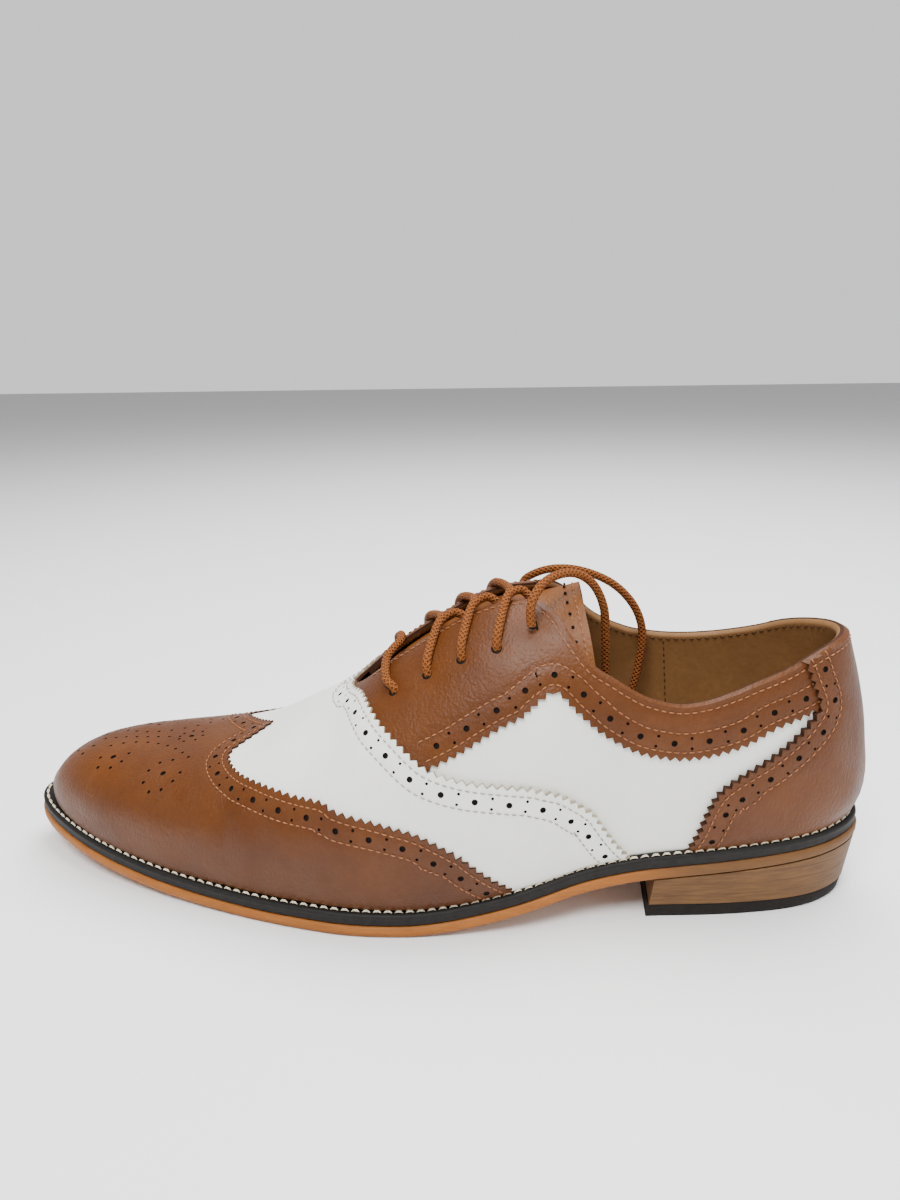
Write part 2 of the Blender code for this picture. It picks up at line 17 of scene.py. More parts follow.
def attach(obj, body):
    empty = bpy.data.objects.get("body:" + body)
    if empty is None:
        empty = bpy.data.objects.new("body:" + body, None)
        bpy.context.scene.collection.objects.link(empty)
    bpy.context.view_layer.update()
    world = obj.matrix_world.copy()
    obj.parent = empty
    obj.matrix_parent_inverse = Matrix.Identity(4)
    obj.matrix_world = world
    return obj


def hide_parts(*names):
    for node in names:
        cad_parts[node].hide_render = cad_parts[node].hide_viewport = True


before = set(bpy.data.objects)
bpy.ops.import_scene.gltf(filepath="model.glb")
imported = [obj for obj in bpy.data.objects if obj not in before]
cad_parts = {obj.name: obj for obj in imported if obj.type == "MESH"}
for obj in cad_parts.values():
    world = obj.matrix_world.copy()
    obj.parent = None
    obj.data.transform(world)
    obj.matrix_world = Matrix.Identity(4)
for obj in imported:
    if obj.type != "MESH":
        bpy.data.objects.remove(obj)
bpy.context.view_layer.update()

log = logging.getLogger("shoe")

Surface = Callable[[np.ndarray], np.ndarray]
Value = float | tuple | bpy.types.NodeSocket

SOLE_LENGTH = 0.308
BALL_WIDTH = 0.102
HALF_BALL = BALL_WIDTH / 2
TOE_SPRING = 0.013
TREAD_FRONT = 0.112
TREAD_BACK = 0.150
HEEL_BREAST = 0.236
HEEL_HEIGHT = 0.016
HEEL_RISE = 0.0065
OUTSOLE = 0.0038
WELT = 0.0040
WELT_INSET = 0.0006
TOP_PIECE = 0.0050
GAP = 0.0003
UPPER_START = 0.0058
UPPER_END = SOLE_LENGTH - 0.0018
UPPER_LENGTH = UPPER_END - UPPER_START
FEATHER_INSET = 0.0055
# How far the worked toe stands back from the plain form's, how far along that fades, and how much lower it is.
TOE_SETBACK = 0.0032
TOE_REACH = 0.14
TOE_SINK = 0.0014
SIDE_BULGE = 0.0035
WIDEST_RISE = 0.0220
INSTEP_RISE = 0.0960
COLLAR_RISE = 0.0663
BACK_LEAN = 0.0115
RIDGE_SHIFT = 0.0030
WALL = 0.0020
THROAT_START = 0.1300
THROAT_END = 0.1960
THROAT_ROUNDING = 0.0120
THROAT_GAPS = (0.0105, 0.0035)
FADE_START = 0.2350
LOWER_SHARE = 0.2
LACE_DIAMETER = 0.0030
EYELET_FIRST = 0.1490
EYELET_PITCH = 0.0114
# How far the eyelets lie from the ridge on the outer and inner side, and how far the inner ones lie ahead.
EYELET_SIDES = (0.0262, 0.0185)
EYELET_SLIDE = -0.0056
HEM = 0.02

# How far the chart of the last is stretched, so that its triangles come out even.
CHART = np.array((0.47, 0.085))

# The sole's outline: half widths, in half ball widths, by the share of its length.
OUTLINE = {
    "along": (
        0, 0.05, 0.11, 0.165, 0.22, 0.32, 0.38, 0.44, 0.50, 0.56, 0.63, 0.69, 0.766, 0.85, 0.925, 0.965, 1,
    ),
    "outer": (
        0, 0.365, 0.55, 0.67, 0.765, 0.90, 0.963, 1.0, 0.98, 0.93, 0.845, 0.725, 0.643, 0.568, 0.455, 0.33,
        0,
    ),
    "inner": (
        0, 0.355, 0.565, 0.70, 0.80, 0.94, 0.992, 0.98, 0.90, 0.775, 0.655, 0.61, 0.612, 0.61, 0.51, 0.37,
        0,
    ),
}
# The last's cross-sections, by the share of its length.
SECTIONS = {
    "along": (0, 0.01, 0.03, 0.06, 0.105, 0.15, 0.22, 0.29, 0.36, 0.41, 0.46, 0.52, 0.58, 0.64, 0.72, 0.85, 1),
    "outer": (0, 0.10, 0.20, 0.30, 0.40, 0.50, 0.60, 0.70, 0.80, 0.95, 1.0, 1.1, 1.1, 1.0, 0.90, 0.70, 0),
    "inner": (0, 0.10, 0.20, 0.30, 0.40, 0.50, 0.60, 0.75, 0.95, 1.1, 1.4, 1.6, 1.7, 1.6, 1.4, 0.80, 0),
    "widest": (
        0.20, 0.24, 0.30, 0.36, 0.46, 0.55, 0.62, 0.68, 0.76, 0.84, 0.90, 0.96, 1.0, 1.0, 1.0, 0.95, 0.80,
    ),
    "rise": (
        0.055, 0.108, 0.181, 0.244, 0.286, 0.310, 0.349, 0.403, 0.524,
        0.616, 0.763, 0.888, 0.958, 0.947, 0.955, 0.952, 0.940,
    ),
    "ridge": (0, 0, 0, 0.05, 0.15, 0.3, 0.5, 0.7, 0.9, 1.0, 1.0, 1.0, 0.9, 0.7, 0.4, 0.1, 0),
    "fullness": (2.3, 2.3, 2.3, 2.4, 2.55, 2.6, 2.55, 2.4, 2.1, 1.95, 1.85, 1.85, 1.9, 2.0, 2.15, 2.2, 2.2),
}
# The topline's height behind the throat, in collar rises, by the share of the length.
TOPLINE = {
    "along": (0.632, 0.642, 0.658, 0.675, 0.694, 0.714, 0.731, 0.75, 0.78, 0.807, 0.835, 0.865, 0.90, 0.945, 1),
    "outer": (1.335, 1.31, 1.25, 1.14, 1.03, 0.96, 0.90, 0.845, 0.80, 0.80, 0.825, 0.86, 0.895, 0.95, 0.975),
    "inner": (
        1.375, 1.36, 1.29, 1.185, 1.065, 0.985, 0.935, 0.895, 0.865, 0.852, 0.85, 0.86, 0.885, 0.935, 0.975,
    ),
}
# How far the back seam leans forward, by its height in collar rises.
BACK_SEAM = {
    "rise": (0, 0.12, 0.24, 0.37, 0.55, 0.75, 0.89, 1.0, 1.45),
    "lean": (0.19, 0.02, 0, 0.11, 0.28, 0.57, 0.82, 1.0, 1.75),
}
# Panel edges that run up the girth: the share of the length, by the height on the chart.
GIRTH_EDGES = {
    "height": (0, 0.06, 0.1, 0.2, 0.3, 0.35, 0.4, 0.45, 0.5, 0.6, 0.7, 0.8, 0.86, 0.92, 0.97, 1),
    "wing_outer": (
        0.613, 0.611, 0.600, 0.555, 0.513, 0.480, 0.443, 0.404, 0.364, 0.319, 0.289, 0.271, 0.269, 0.280,
        0.294, 0.306,
    ),
    "wing_inner": (
        0.608, 0.606, 0.590, 0.550, 0.500, 0.466, 0.427, 0.380, 0.330, 0.267, 0.244, 0.251, 0.262, 0.277,
        0.294, 0.306,
    ),
    "vamp": (
        0.740, 0.735, 0.726, 0.696, 0.663, 0.618, 0.573, 0.541, 0.518, 0.490, 0.467, 0.451, 0.443, 0.433,
        0.418, 0.411,
    ),
}
# The facings' lower edge: its height on the chart, by the share of the length.
FACING_EDGE = {
    "along": (
        0.497, 0.522, 0.557, 0.580, 0.603, 0.625, 0.643, 0.653, 0.670, 0.689,
        0.713, 0.736, 0.763, 0.786, 0.810, 0.833, 0.858, 0.886, 0.918, 0.946,
    ),
    "height": (
        0.474, 0.479, 0.491, 0.508, 0.527, 0.545, 0.612, 0.651, 0.655, 0.641,
        0.586, 0.541, 0.512, 0.495, 0.491, 0.501, 0.525, 0.587, 0.607, 0.624,
    ),
}
# The counter's front edge: the share of the length, by the height on the chart.
COUNTER_EDGE = {
    "height": (0, 0.06, 0.1, 0.2, 0.3, 0.4, 0.5, 0.6, 0.65, 0.7, 0.8, 0.9, 1),
    "along": (0.797, 0.800, 0.805, 0.823, 0.843, 0.876, 0.904, 0.928, 0.935, 0.934, 0.929, 0.925, 0.920),
}
# The loose ends' routes, in sole lengths, half ball widths and instep rises.
LACE_ROUTES = {
    "lace_end_lateral": (
        (0.630, -0.422, 1.041), (0.630, -0.412, 1.120), (0.644, -0.294, 1.178), (0.670, -0.147, 1.187),
        (0.693, -0.059, 1.140), (0.707, -0.020, 1.049), (0.711, 0.020, 0.927), (0.713, 0.059, 0.778),
        (0.712, 0.080, 0.640), (0.705, 0.105, 0.480), (0.688, 0.130, 0.350), (0.664, 0.150, 0.290),
    ),
    "lace_end_medial": (
        (0.613, 0.417, 1.033), (0.620, 0.392, 1.088), (0.648, 0.367, 1.128), (0.683, 0.382, 1.122),
        (0.720, 0.402, 1.071), (0.746, 0.418, 0.986), (0.758, 0.422, 0.886), (0.757, 0.418, 0.768),
        (0.749, 0.400, 0.640), (0.734, 0.380, 0.500), (0.710, 0.350, 0.380), (0.675, 0.310, 0.300),
    ),
}

# Soft creases where the foot bends: x from the toe, w, width along, reach across and depth.
CREASES = (
    (0.0930, -0.62, 0.0030, 0.16, 0.0007),
    (0.1060, -0.66, 0.0034, 0.15, 0.0006),
    (0.1200, -0.60, 0.0036, 0.13, 0.0004),
    (0.0960, 0.60, 0.0032, 0.16, 0.0007),
    (0.1090, 0.64, 0.0034, 0.15, 0.0005),
    (0.1180, -0.24, 0.0034, 0.12, 0.0005),
    (0.1150, 0.22, 0.0036, 0.14, 0.0005),
    (0.2050, -0.62, 0.0060, 0.14, 0.0005),
    (0.1600, -0.30, 0.0050, 0.10, 0.0003),
)

# The corners of large and small punched holes.
LARGE_CORNERS = 12
SMALL_CORNERS = 8

# A stitch's cross-sections: the share of its length, its size and its lift over the surface.
STITCH_SECTIONS = ((0.0, 0.35, -0.4), (0.25, 0.9, 0.7), (0.75, 0.9, 0.7), (1.0, 0.35, -0.4))


class Side(Enum):
    """The two sides of this left shoe, by the sign of Y."""

    OUTER = -1
    INNER = 1

    @property
    def column(self) -> str:
        """The name of this side's columns."""
        return self.name.lower()


def table(source: dict, key: str, column: str, at: np.ndarray) -> np.ndarray:
    """Reads a smooth curve through a table's rows.

    Args:
        source: The table, a tuple for each column.
        key: The column that is looked up.
        column: The column that is read.
        at: Values of the key.

    Returns:
        The curve's values there.
    """
    xs = np.array(source[key], float)
    ys = np.array(source[column], float)
    at = np.clip(np.asarray(at, float), xs[0], xs[-1])
    row = np.clip(np.searchsorted(xs, at, side="right") - 1, 0, len(xs) - 2)
    before = np.maximum(np.arange(len(xs)) - 1, 0)
    after = np.minimum(np.arange(len(xs)) + 1, len(xs) - 1)
    slope = (ys[after] - ys[before]) / (xs[after] - xs[before])
    span = xs[row + 1] - xs[row]
    t = (at - xs[row]) / span
    rising = 3 * t * t - 2 * t**3
    value = ys[row] * (1 - rising) + ys[row + 1] * rising
    return value + span * ((t**3 - 2 * t * t + t) * slope[row] + (t**3 - t * t) * slope[row + 1])


def sided(source: dict, key: str, outer: np.ndarray, at: np.ndarray) -> np.ndarray:
    """Reads a table's outer column where a test holds, and its inner column elsewhere."""
    return np.where(outer, table(source, key, "outer", at), table(source, key, "inner", at))


def section(column: str, angle: np.ndarray) -> np.ndarray:
    """Reads a column of the last's cross-sections."""
    return table(SECTIONS, "angle", column, angle)


def end_angle(share: np.ndarray) -> np.ndarray:
    """Turns shares of a length into angles, in which a round end is a straight line."""
    return np.arccos(1 - 2 * np.clip(share, 0, 1)) / math.pi


def end_share(angle: np.ndarray) -> np.ndarray:
    """The opposite of end_angle."""
    return (1 - np.cos(np.asarray(angle) * math.pi)) / 2


def along_last(share: np.ndarray) -> np.ndarray:
    """How far from the sole's toe a share of the upper's length lies."""
    return UPPER_START + share * UPPER_LENGTH


def last_share(x: np.ndarray) -> np.ndarray:
    """The opposite of along_last."""
    return (x - UPPER_START) / UPPER_LENGTH


for curve in (OUTLINE, SECTIONS):
    curve["angle"] = tuple(end_angle(np.array(curve["along"], float)))


def ground(x: np.ndarray) -> np.ndarray:
    """The floor's height."""
    return 0 * x


def tread_height(x: np.ndarray) -> np.ndarray:
    """The underside of the outsole: toe spring, a flat tread, the arch and the sloped heel seat.

    Args:
        x: How far from the sole's toe.

    Returns:
        The height above the floor.
    """
    x = np.asarray(x, float)
    toe = TOE_SPRING * (np.maximum(TREAD_FRONT - x, 0) / TREAD_FRONT) ** 2
    slope = HEEL_RISE / (SOLE_LENGTH - HEEL_BREAST)
    shank = HEEL_BREAST - TREAD_BACK
    t = np.clip((x - TREAD_BACK) / shank, 0, 1)
    arch = HEEL_HEIGHT * (3 * t * t - 2 * t**3) + slope * shank * (t**3 - t * t)
    return np.where(x > HEEL_BREAST, HEEL_HEIGHT + slope * (x - HEEL_BREAST), toe + arch)


def welt_top(x: np.ndarray) -> np.ndarray:
    """The top of the welt above the floor."""
    return tread_height(x) + OUTSOLE + GAP + WELT


def toe_sink(share: np.ndarray) -> np.ndarray:
    """How much lower the worked toe is than the plain form's, by the share of the upper's length."""
    return TOE_SINK * np.clip(share / 0.05, 0, 1) * np.clip((0.36 - share) / 0.12, 0, 1) ** 2


@dataclass(frozen=True)
class Last:
    """The surface of the upper, charted by spots.

    A spot is (angle, w): the angle runs from 0 at the toe to 1 at the heel, and w from -1 at the outer
    feather edge over 0 at the ridge, throat or topline to 1 at the inner feather edge. Angles above 1 go
    on round the heel, onto the other side.
    """

    chart_step: float = 0.002
    plan_step: float = 0.001
    low_skive: tuple = (0.75, 0.16)
    high_skive: tuple = (0.7, 0.035)

    def points(self, spots: np.ndarray) -> np.ndarray:
        """Places spots on the surface.

        Args:
            spots: An array of (angle, w).

        Returns:
            The points in the row frame, in metres.
        """
        angle, w = np.asarray(spots, float).T
        w = np.where(angle > 1, -w, w)
        angle = np.where(angle > 1, 2 - angle, angle)
        side = np.where(w > 0, 1.0, -1.0)
        height = 1 - np.abs(w)
        share = end_share(angle)
        x = along_last(share) + TOE_SETBACK * np.maximum(1 - share / TOE_REACH, 0) ** 2
        rise_all = INSTEP_RISE * section("rise", angle) - toe_sink(share)
        widest_rise = np.minimum(WIDEST_RISE * section("widest", angle), 0.7 * rise_all)
        ridge = RIDGE_SHIFT * section("ridge", angle)
        fullness = section("fullness", angle)
        outer = w <= 0
        outline = sided(OUTLINE, "angle", outer, angle)
        bulge = sided(SECTIONS, "angle", outer, angle)
        feather = np.maximum(outline, 0) * (HALF_BALL - FEATHER_INSET)
        bulge = np.maximum(SIDE_BULGE * bulge, 0)
        span = np.maximum(feather + bulge - side * ridge, 1e-9)
        top = self.top(x, share, outer, span, fullness, widest_rise, rise_all)
        v = np.where(
            height < LOWER_SHARE,
            height,
            LOWER_SHARE + (top - LOWER_SHARE) * (height - LOWER_SHARE) / (1 - LOWER_SHARE),
        )
        low_turn = np.clip(v / LOWER_SHARE, 0, 1) * math.pi / 2
        turn = np.clip((v - LOWER_SHARE) / (1 - LOWER_SHARE), 0, 1) * math.pi / 2
        lower = v < LOWER_SHARE
        dent = sum(
            depth * np.exp(-(((x - at) / width) ** 2) - ((w - middle) / reach) ** 2)
            for at, middle, width, reach, depth in CREASES
        )
        y_low = side * (feather + bulge * np.sin(low_turn) - dent)
        y_high = ridge + side * span * np.maximum(np.cos(turn), 0) ** (2 / fullness)
        y_high = y_high - side * dent * np.cos(turn)
        z_high = widest_rise + (rise_all - widest_rise) * np.sin(turn) ** (2 / fullness) - dent * np.sin(turn)
        y = np.where(lower, y_low, y_high)
        rise = np.where(lower, widest_rise * (1 - np.cos(low_turn)), z_high)
        lean = BACK_LEAN * table(BACK_SEAM, "rise", "lean", rise / COLLAR_RISE)
        fade = np.maximum(x - FADE_START, 0) / (UPPER_END - FADE_START)
        foot = welt_top(x) + GAP
        return np.stack((x - lean * fade**2 - SOLE_LENGTH / 2, y, foot + rise), axis=1)

    def top(
        self,
        x: np.ndarray,
        share: np.ndarray,
        outer: np.ndarray,
        span: np.ndarray,
        fullness: np.ndarray,
        widest_rise: np.ndarray,
        rise_all: np.ndarray,
    ) -> np.ndarray:
        """The top edge's place on the chart: on the ridge in front, then the throat, then the topline.

        Args:
            x: How far from the sole's toe.
            share: The share of the upper's length.
            outer: Whether the place is on the outer side.
            span: The width from the ridge to the widest place.
            fullness: How full the cross-section is.
            widest_rise: The height of the widest place above the foot.
            rise_all: The height of the ridge above the foot.

        Returns:
            The edge's v, which runs from 0 at the feather edge to 1 at the ridge.
        """
        opened = np.clip((x - THROAT_START) / THROAT_ROUNDING, 0, 1)
        gap = np.where(outer, *THROAT_GAPS) * np.sqrt(1 - (1 - opened) ** 2)
        turn = np.arccos(np.minimum(gap / span, 1) ** (fullness / 2))
        throat = LOWER_SHARE + (1 - LOWER_SHARE) * turn / (math.pi / 2)
        line = sided(TOPLINE, "along", outer, share)
        part = np.clip((COLLAR_RISE * line - widest_rise) / (rise_all - widest_rise), 0, 1)
        topline = LOWER_SHARE + (1 - LOWER_SHARE) * np.arcsin(part ** (fullness / 2)) / (math.pi / 2)
        return np.where(x <= THROAT_START, 1.0, np.where(x > THROAT_END, topline, throat))

    def slopes(self, spots: np.ndarray) -> tuple[np.ndarray, np.ndarray, np.ndarray]:
        """The surface's two slopes and its outward normal at spots.

        Args:
            spots: An array of (angle, w).

        Returns:
            The change of place with the angle, with w, and the normals.
        """
        spots = np.array(spots, float)
        step = self.chart_step
        open_top = along_last(end_share(np.minimum(spots[:, 0], 1))) > THROAT_START - 0.001
        sign = np.where(spots[:, 1] > 0, 1.0, -1.0)
        w = np.clip(np.abs(spots[:, 1]), np.where(open_top, 2 * step, 0), 1 - 2 * step)
        middle = np.stack((np.maximum(spots[:, 0], step), w * sign), axis=1)
        along = self.points(middle + (step, 0)) - self.points(middle - (step, 0))
        across = self.points(middle + (0, step)) - self.points(middle - (0, step))
        normal = np.cross(along, across)
        normal[spots[:, 0] < 1e-6, 1] = 0
        normal /= np.maximum(np.linalg.norm(normal, axis=1, keepdims=True), 1e-12)
        return along / (2 * step), across / (2 * step), normal

    def over(self, x: float, y: float) -> np.ndarray:
        """A point of the closed last, as if it had no throat.

        Args:
            x: How far from the sole's toe.
            y: How far to the side of the ridge.

        Returns:
            The point in the row frame.
        """
        share = last_share(x)
        angle = end_angle(share)
        side = Side.INNER if y > 0 else Side.OUTER
        rise = INSTEP_RISE * section("rise", angle)
        rise = rise - toe_sink(share)
        widest_rise = WIDEST_RISE * section("widest", angle)
        ridge = RIDGE_SHIFT * section("ridge", angle)
        fullness = section("fullness", angle)
        half = table(OUTLINE, "angle", side.column, angle) * (HALF_BALL - FEATHER_INSET)
        half = half + SIDE_BULGE * section(side.column, angle)
        part = min(abs(y) / (half - math.copysign(1, y) * ridge), 1)
        up = widest_rise + (rise - widest_rise) * (1 - part**fullness) ** (1 / fullness)
        return np.array((x - SOLE_LENGTH / 2, ridge + y, welt_top(x) + GAP + up))

    def closed(self, x: float, y: float) -> tuple[np.ndarray, np.ndarray]:
        """A point of the closed last with its normal.

        Args:
            x: How far from the sole's toe.
            y: How far to the side of the ridge.

        Returns:
            The point, and the unit normal there.
        """
        step = self.plan_step
        along = self.over(x + step, y) - self.over(x - step, y)
        across = self.over(x, y + step) - self.over(x, y - step)
        normal = np.cross(along, across)
        return self.over(x, y), normal / np.linalg.norm(normal)

    def lifted(self, spots: np.ndarray, offset: float | np.ndarray) -> np.ndarray:
        """Points at an offset outwards from the surface."""
        return self.points(spots) + self.slopes(spots)[2] * np.reshape(offset, (-1, 1))

    def skived(self, spots: np.ndarray) -> np.ndarray:
        """How far a panel is thinned towards the feather edge and the topline.

        Args:
            spots: An array of (angle, w).

        Returns:
            The share of its thickness that it keeps at each.
        """
        angle, w = np.asarray(spots).T
        share = end_share(np.where(angle > 1, 2 - angle, angle))
        cut, reach = self.low_skive
        low = cut * (1 - np.clip((1 - np.abs(w)) / reach, 0, 1)) ** 2
        opened = np.clip((along_last(share) - THROAT_START) / THROAT_ROUNDING, 0, 1)
        cut, reach = self.high_skive
        high = cut * opened * (1 - np.clip(np.abs(w) / reach, 0, 1)) ** 2
        return 1 - low - high

    def moved(self, spots: np.ndarray, steps: np.ndarray) -> np.ndarray:
        """Moves spots over the surface.

        Args:
            spots: An array of (angle, w).
            steps: A step in space for each, in metres.

        Returns:
            The spots that lie there.
        """
        along, across, _ = self.slopes(spots)
        a = (along * along).sum(1)
        b = (along * across).sum(1)
        c = (across * across).sum(1)
        p = (along * steps).sum(1)
        q = (across * steps).sum(1)
        det = np.maximum(a * c - b * b, 1e-14)
        return spots + np.stack(((c * p - b * q) / det, (a * q - b * p) / det), axis=1)


LAST = Last()


def spot_at(x: float, w: float) -> tuple[float, float]:
    """The spot at x from the sole's toe."""
    return float(end_angle(last_share(x))), w


def lengths(points: np.ndarray) -> np.ndarray:
    """The distance along a line of points, from its first."""
    return np.concatenate(((0,), np.cumsum(np.linalg.norm(np.diff(points, axis=0), axis=1))))


def resampled(spots: np.ndarray, at: np.ndarray) -> np.ndarray:
    """Spots of a line at distances along it."""
    run = lengths(LAST.points(spots))
    return np.stack([np.interp(at, run, spots[:, k]) for k in (0, 1)], axis=1)


def inward(spots: np.ndarray, left: bool) -> np.ndarray:
    """Unit steps on the surface, square to a line.

    Args:
        spots: The line's spots.
        left: Whether the steps go to its left, seen from outside.

    Returns:
        A step in space for each spot.
    """
    points = LAST.points(spots)
    tangent = np.gradient(points, axis=0)
    tangent /= np.maximum(np.linalg.norm(tangent, axis=1, keepdims=True), 1e-12)
    step = np.cross(LAST.slopes(spots)[2], tangent)
    return step if left else -step


def beside(spots: np.ndarray, distance: float, left: bool, keep: float = 0.93) -> np.ndarray:
    """A line beside another, without the stretches where it would fold over itself.

    Args:
        spots: The other line's spots.
        distance: How far away it lies, in metres.
        left: Whether it lies to the left, seen from outside.
        keep: The share of the distance below which a spot is left out.

    Returns:
        The spots that are kept.
    """
    moved = spots
    pieces = 4
    for _ in range(pieces):
        moved = LAST.moved(moved, inward(spots, left) * distance / pieces)
    home = LAST.points(spots)
    found = LAST.points(moved)
    gaps = np.array([np.min(np.linalg.norm(home - point, axis=1)) for point in found])
    return moved[gaps > keep * distance]


def gimped(spots: np.ndarray, left: bool, pitch: float = 0.0031, depth: float = 0.0015) -> np.ndarray:
    """Cuts a line into small teeth, whose tips stand on it.

    Args:
        spots: The line's spots.
        left: Whether the teeth are cut in to its left.
        pitch: The distance from tip to tip.
        depth: How deep the roots lie.

    Returns:
        The tips and roots in turn.
    """
    total = lengths(LAST.points(spots))[-1]
    count = max(round(total / pitch), 1)
    line = resampled(spots, np.linspace(0, total, 2 * count + 1))
    roots = LAST.moved(line, inward(line, left) * depth)
    line[1::2] = roots[1::2]
    return line


def disc(spot: np.ndarray, radius: float, corners: int) -> np.ndarray:
    """A round outline on the surface.

    Args:
        spot: Its centre.
        radius: Its radius, in metres.
        corners: How many corners it has.

    Returns:
        The corners' spots.
    """
    turn = np.linspace(0, 2 * math.pi, corners, endpoint=False)
    along, _, normal = LAST.slopes(np.array([spot]))
    u = along[0] / np.linalg.norm(along[0])
    v = np.cross(normal[0], u)
    steps = radius * (np.cos(turn)[:, None] * u + np.sin(turn)[:, None] * v)
    return LAST.moved(np.repeat([spot], corners, axis=0), steps)


@dataclass
class Band:
    """A decorative band along an edge: two rows of stitches, with large and paired small holes between."""

    edge: np.ndarray
    left: bool
    near: float = 0.0030
    middle: float = 0.0060
    far: float = 0.0090
    pitch: float = 0.0105
    large: float = 0.00100
    small: float = 0.00050
    pair: float = 0.0017
    holes: list = field(default_factory=list)
    seams: list = field(default_factory=list)

    def build(self) -> "Band":
        """Works out the holes and the seams.

        Returns:
            The band itself.
        """
        self.seams = [beside(self.edge, self.near, self.left), beside(self.edge, self.far, self.left)]
        line = beside(self.edge, self.middle, self.left)
        total = lengths(LAST.points(line))[-1]
        count = max(int(total / self.pitch), 1)
        at = (np.arange(count) + 0.5) * total / count
        self.holes += [(spot, self.large, LARGE_CORNERS) for spot in resampled(line, at)]
        gaps = resampled(line, at[:-1] + total / count / 2)
        for sign in (-1, 1):
            pairs = LAST.moved(gaps, inward(gaps, self.left) * self.pair * sign)
            self.holes += [(spot, self.small, SMALL_CORNERS) for spot in pairs]
        return self


def loop_area(loop: np.ndarray) -> float:
    """Twice the signed area of a flat loop."""
    x, y = loop.T
    return float(np.sum(x * np.roll(y, -1) - y * np.roll(x, -1)))


def inside(points: np.ndarray, loop: np.ndarray) -> np.ndarray:
    """Which flat points lie inside a loop.

    Args:
        points: An array of (x, y).
        loop: The loop's corners.

    Returns:
        True or False for each point.
    """
    x, y = points.T
    found = np.zeros(len(points), bool)
    for (x0, y0), (x1, y1) in zip(loop, np.roll(loop, -1, axis=0)):
        crosses = (y0 > y) != (y1 > y)
        if y0 != y1:
            found ^= crosses & (x < (x1 - x0) * (y - y0) / (y1 - y0) + x0)
    return found


def search_tree(points: np.ndarray) -> KDTree:
    """Makes a tree that finds the nearest of some points.

    Args:
        points: Points in space.

    Returns:
        The tree, ready for use.
    """
    tree = KDTree(len(points))
    for i, point in enumerate(points):
        tree.insert(point, i)
    tree.balance()
    return tree


def add_face(mesh: bmesh.types.BMesh, corners: tuple, material: int = 0, flip: bool = False) -> None:
    """Adds a face, leaving out corners that meet.

    Args:
        mesh: The mesh.
        corners: The face's vertices, in order.
        material: The number of its material.
        flip: Whether the order is turned round.
    """
    kept = []
    for corner in corners:
        if all((corner.co - other.co).length > 1e-9 for other in kept):
            kept.append(corner)
    if len(kept) > 2:
        mesh.faces.new(kept[::-1] if flip else kept).material_index = material


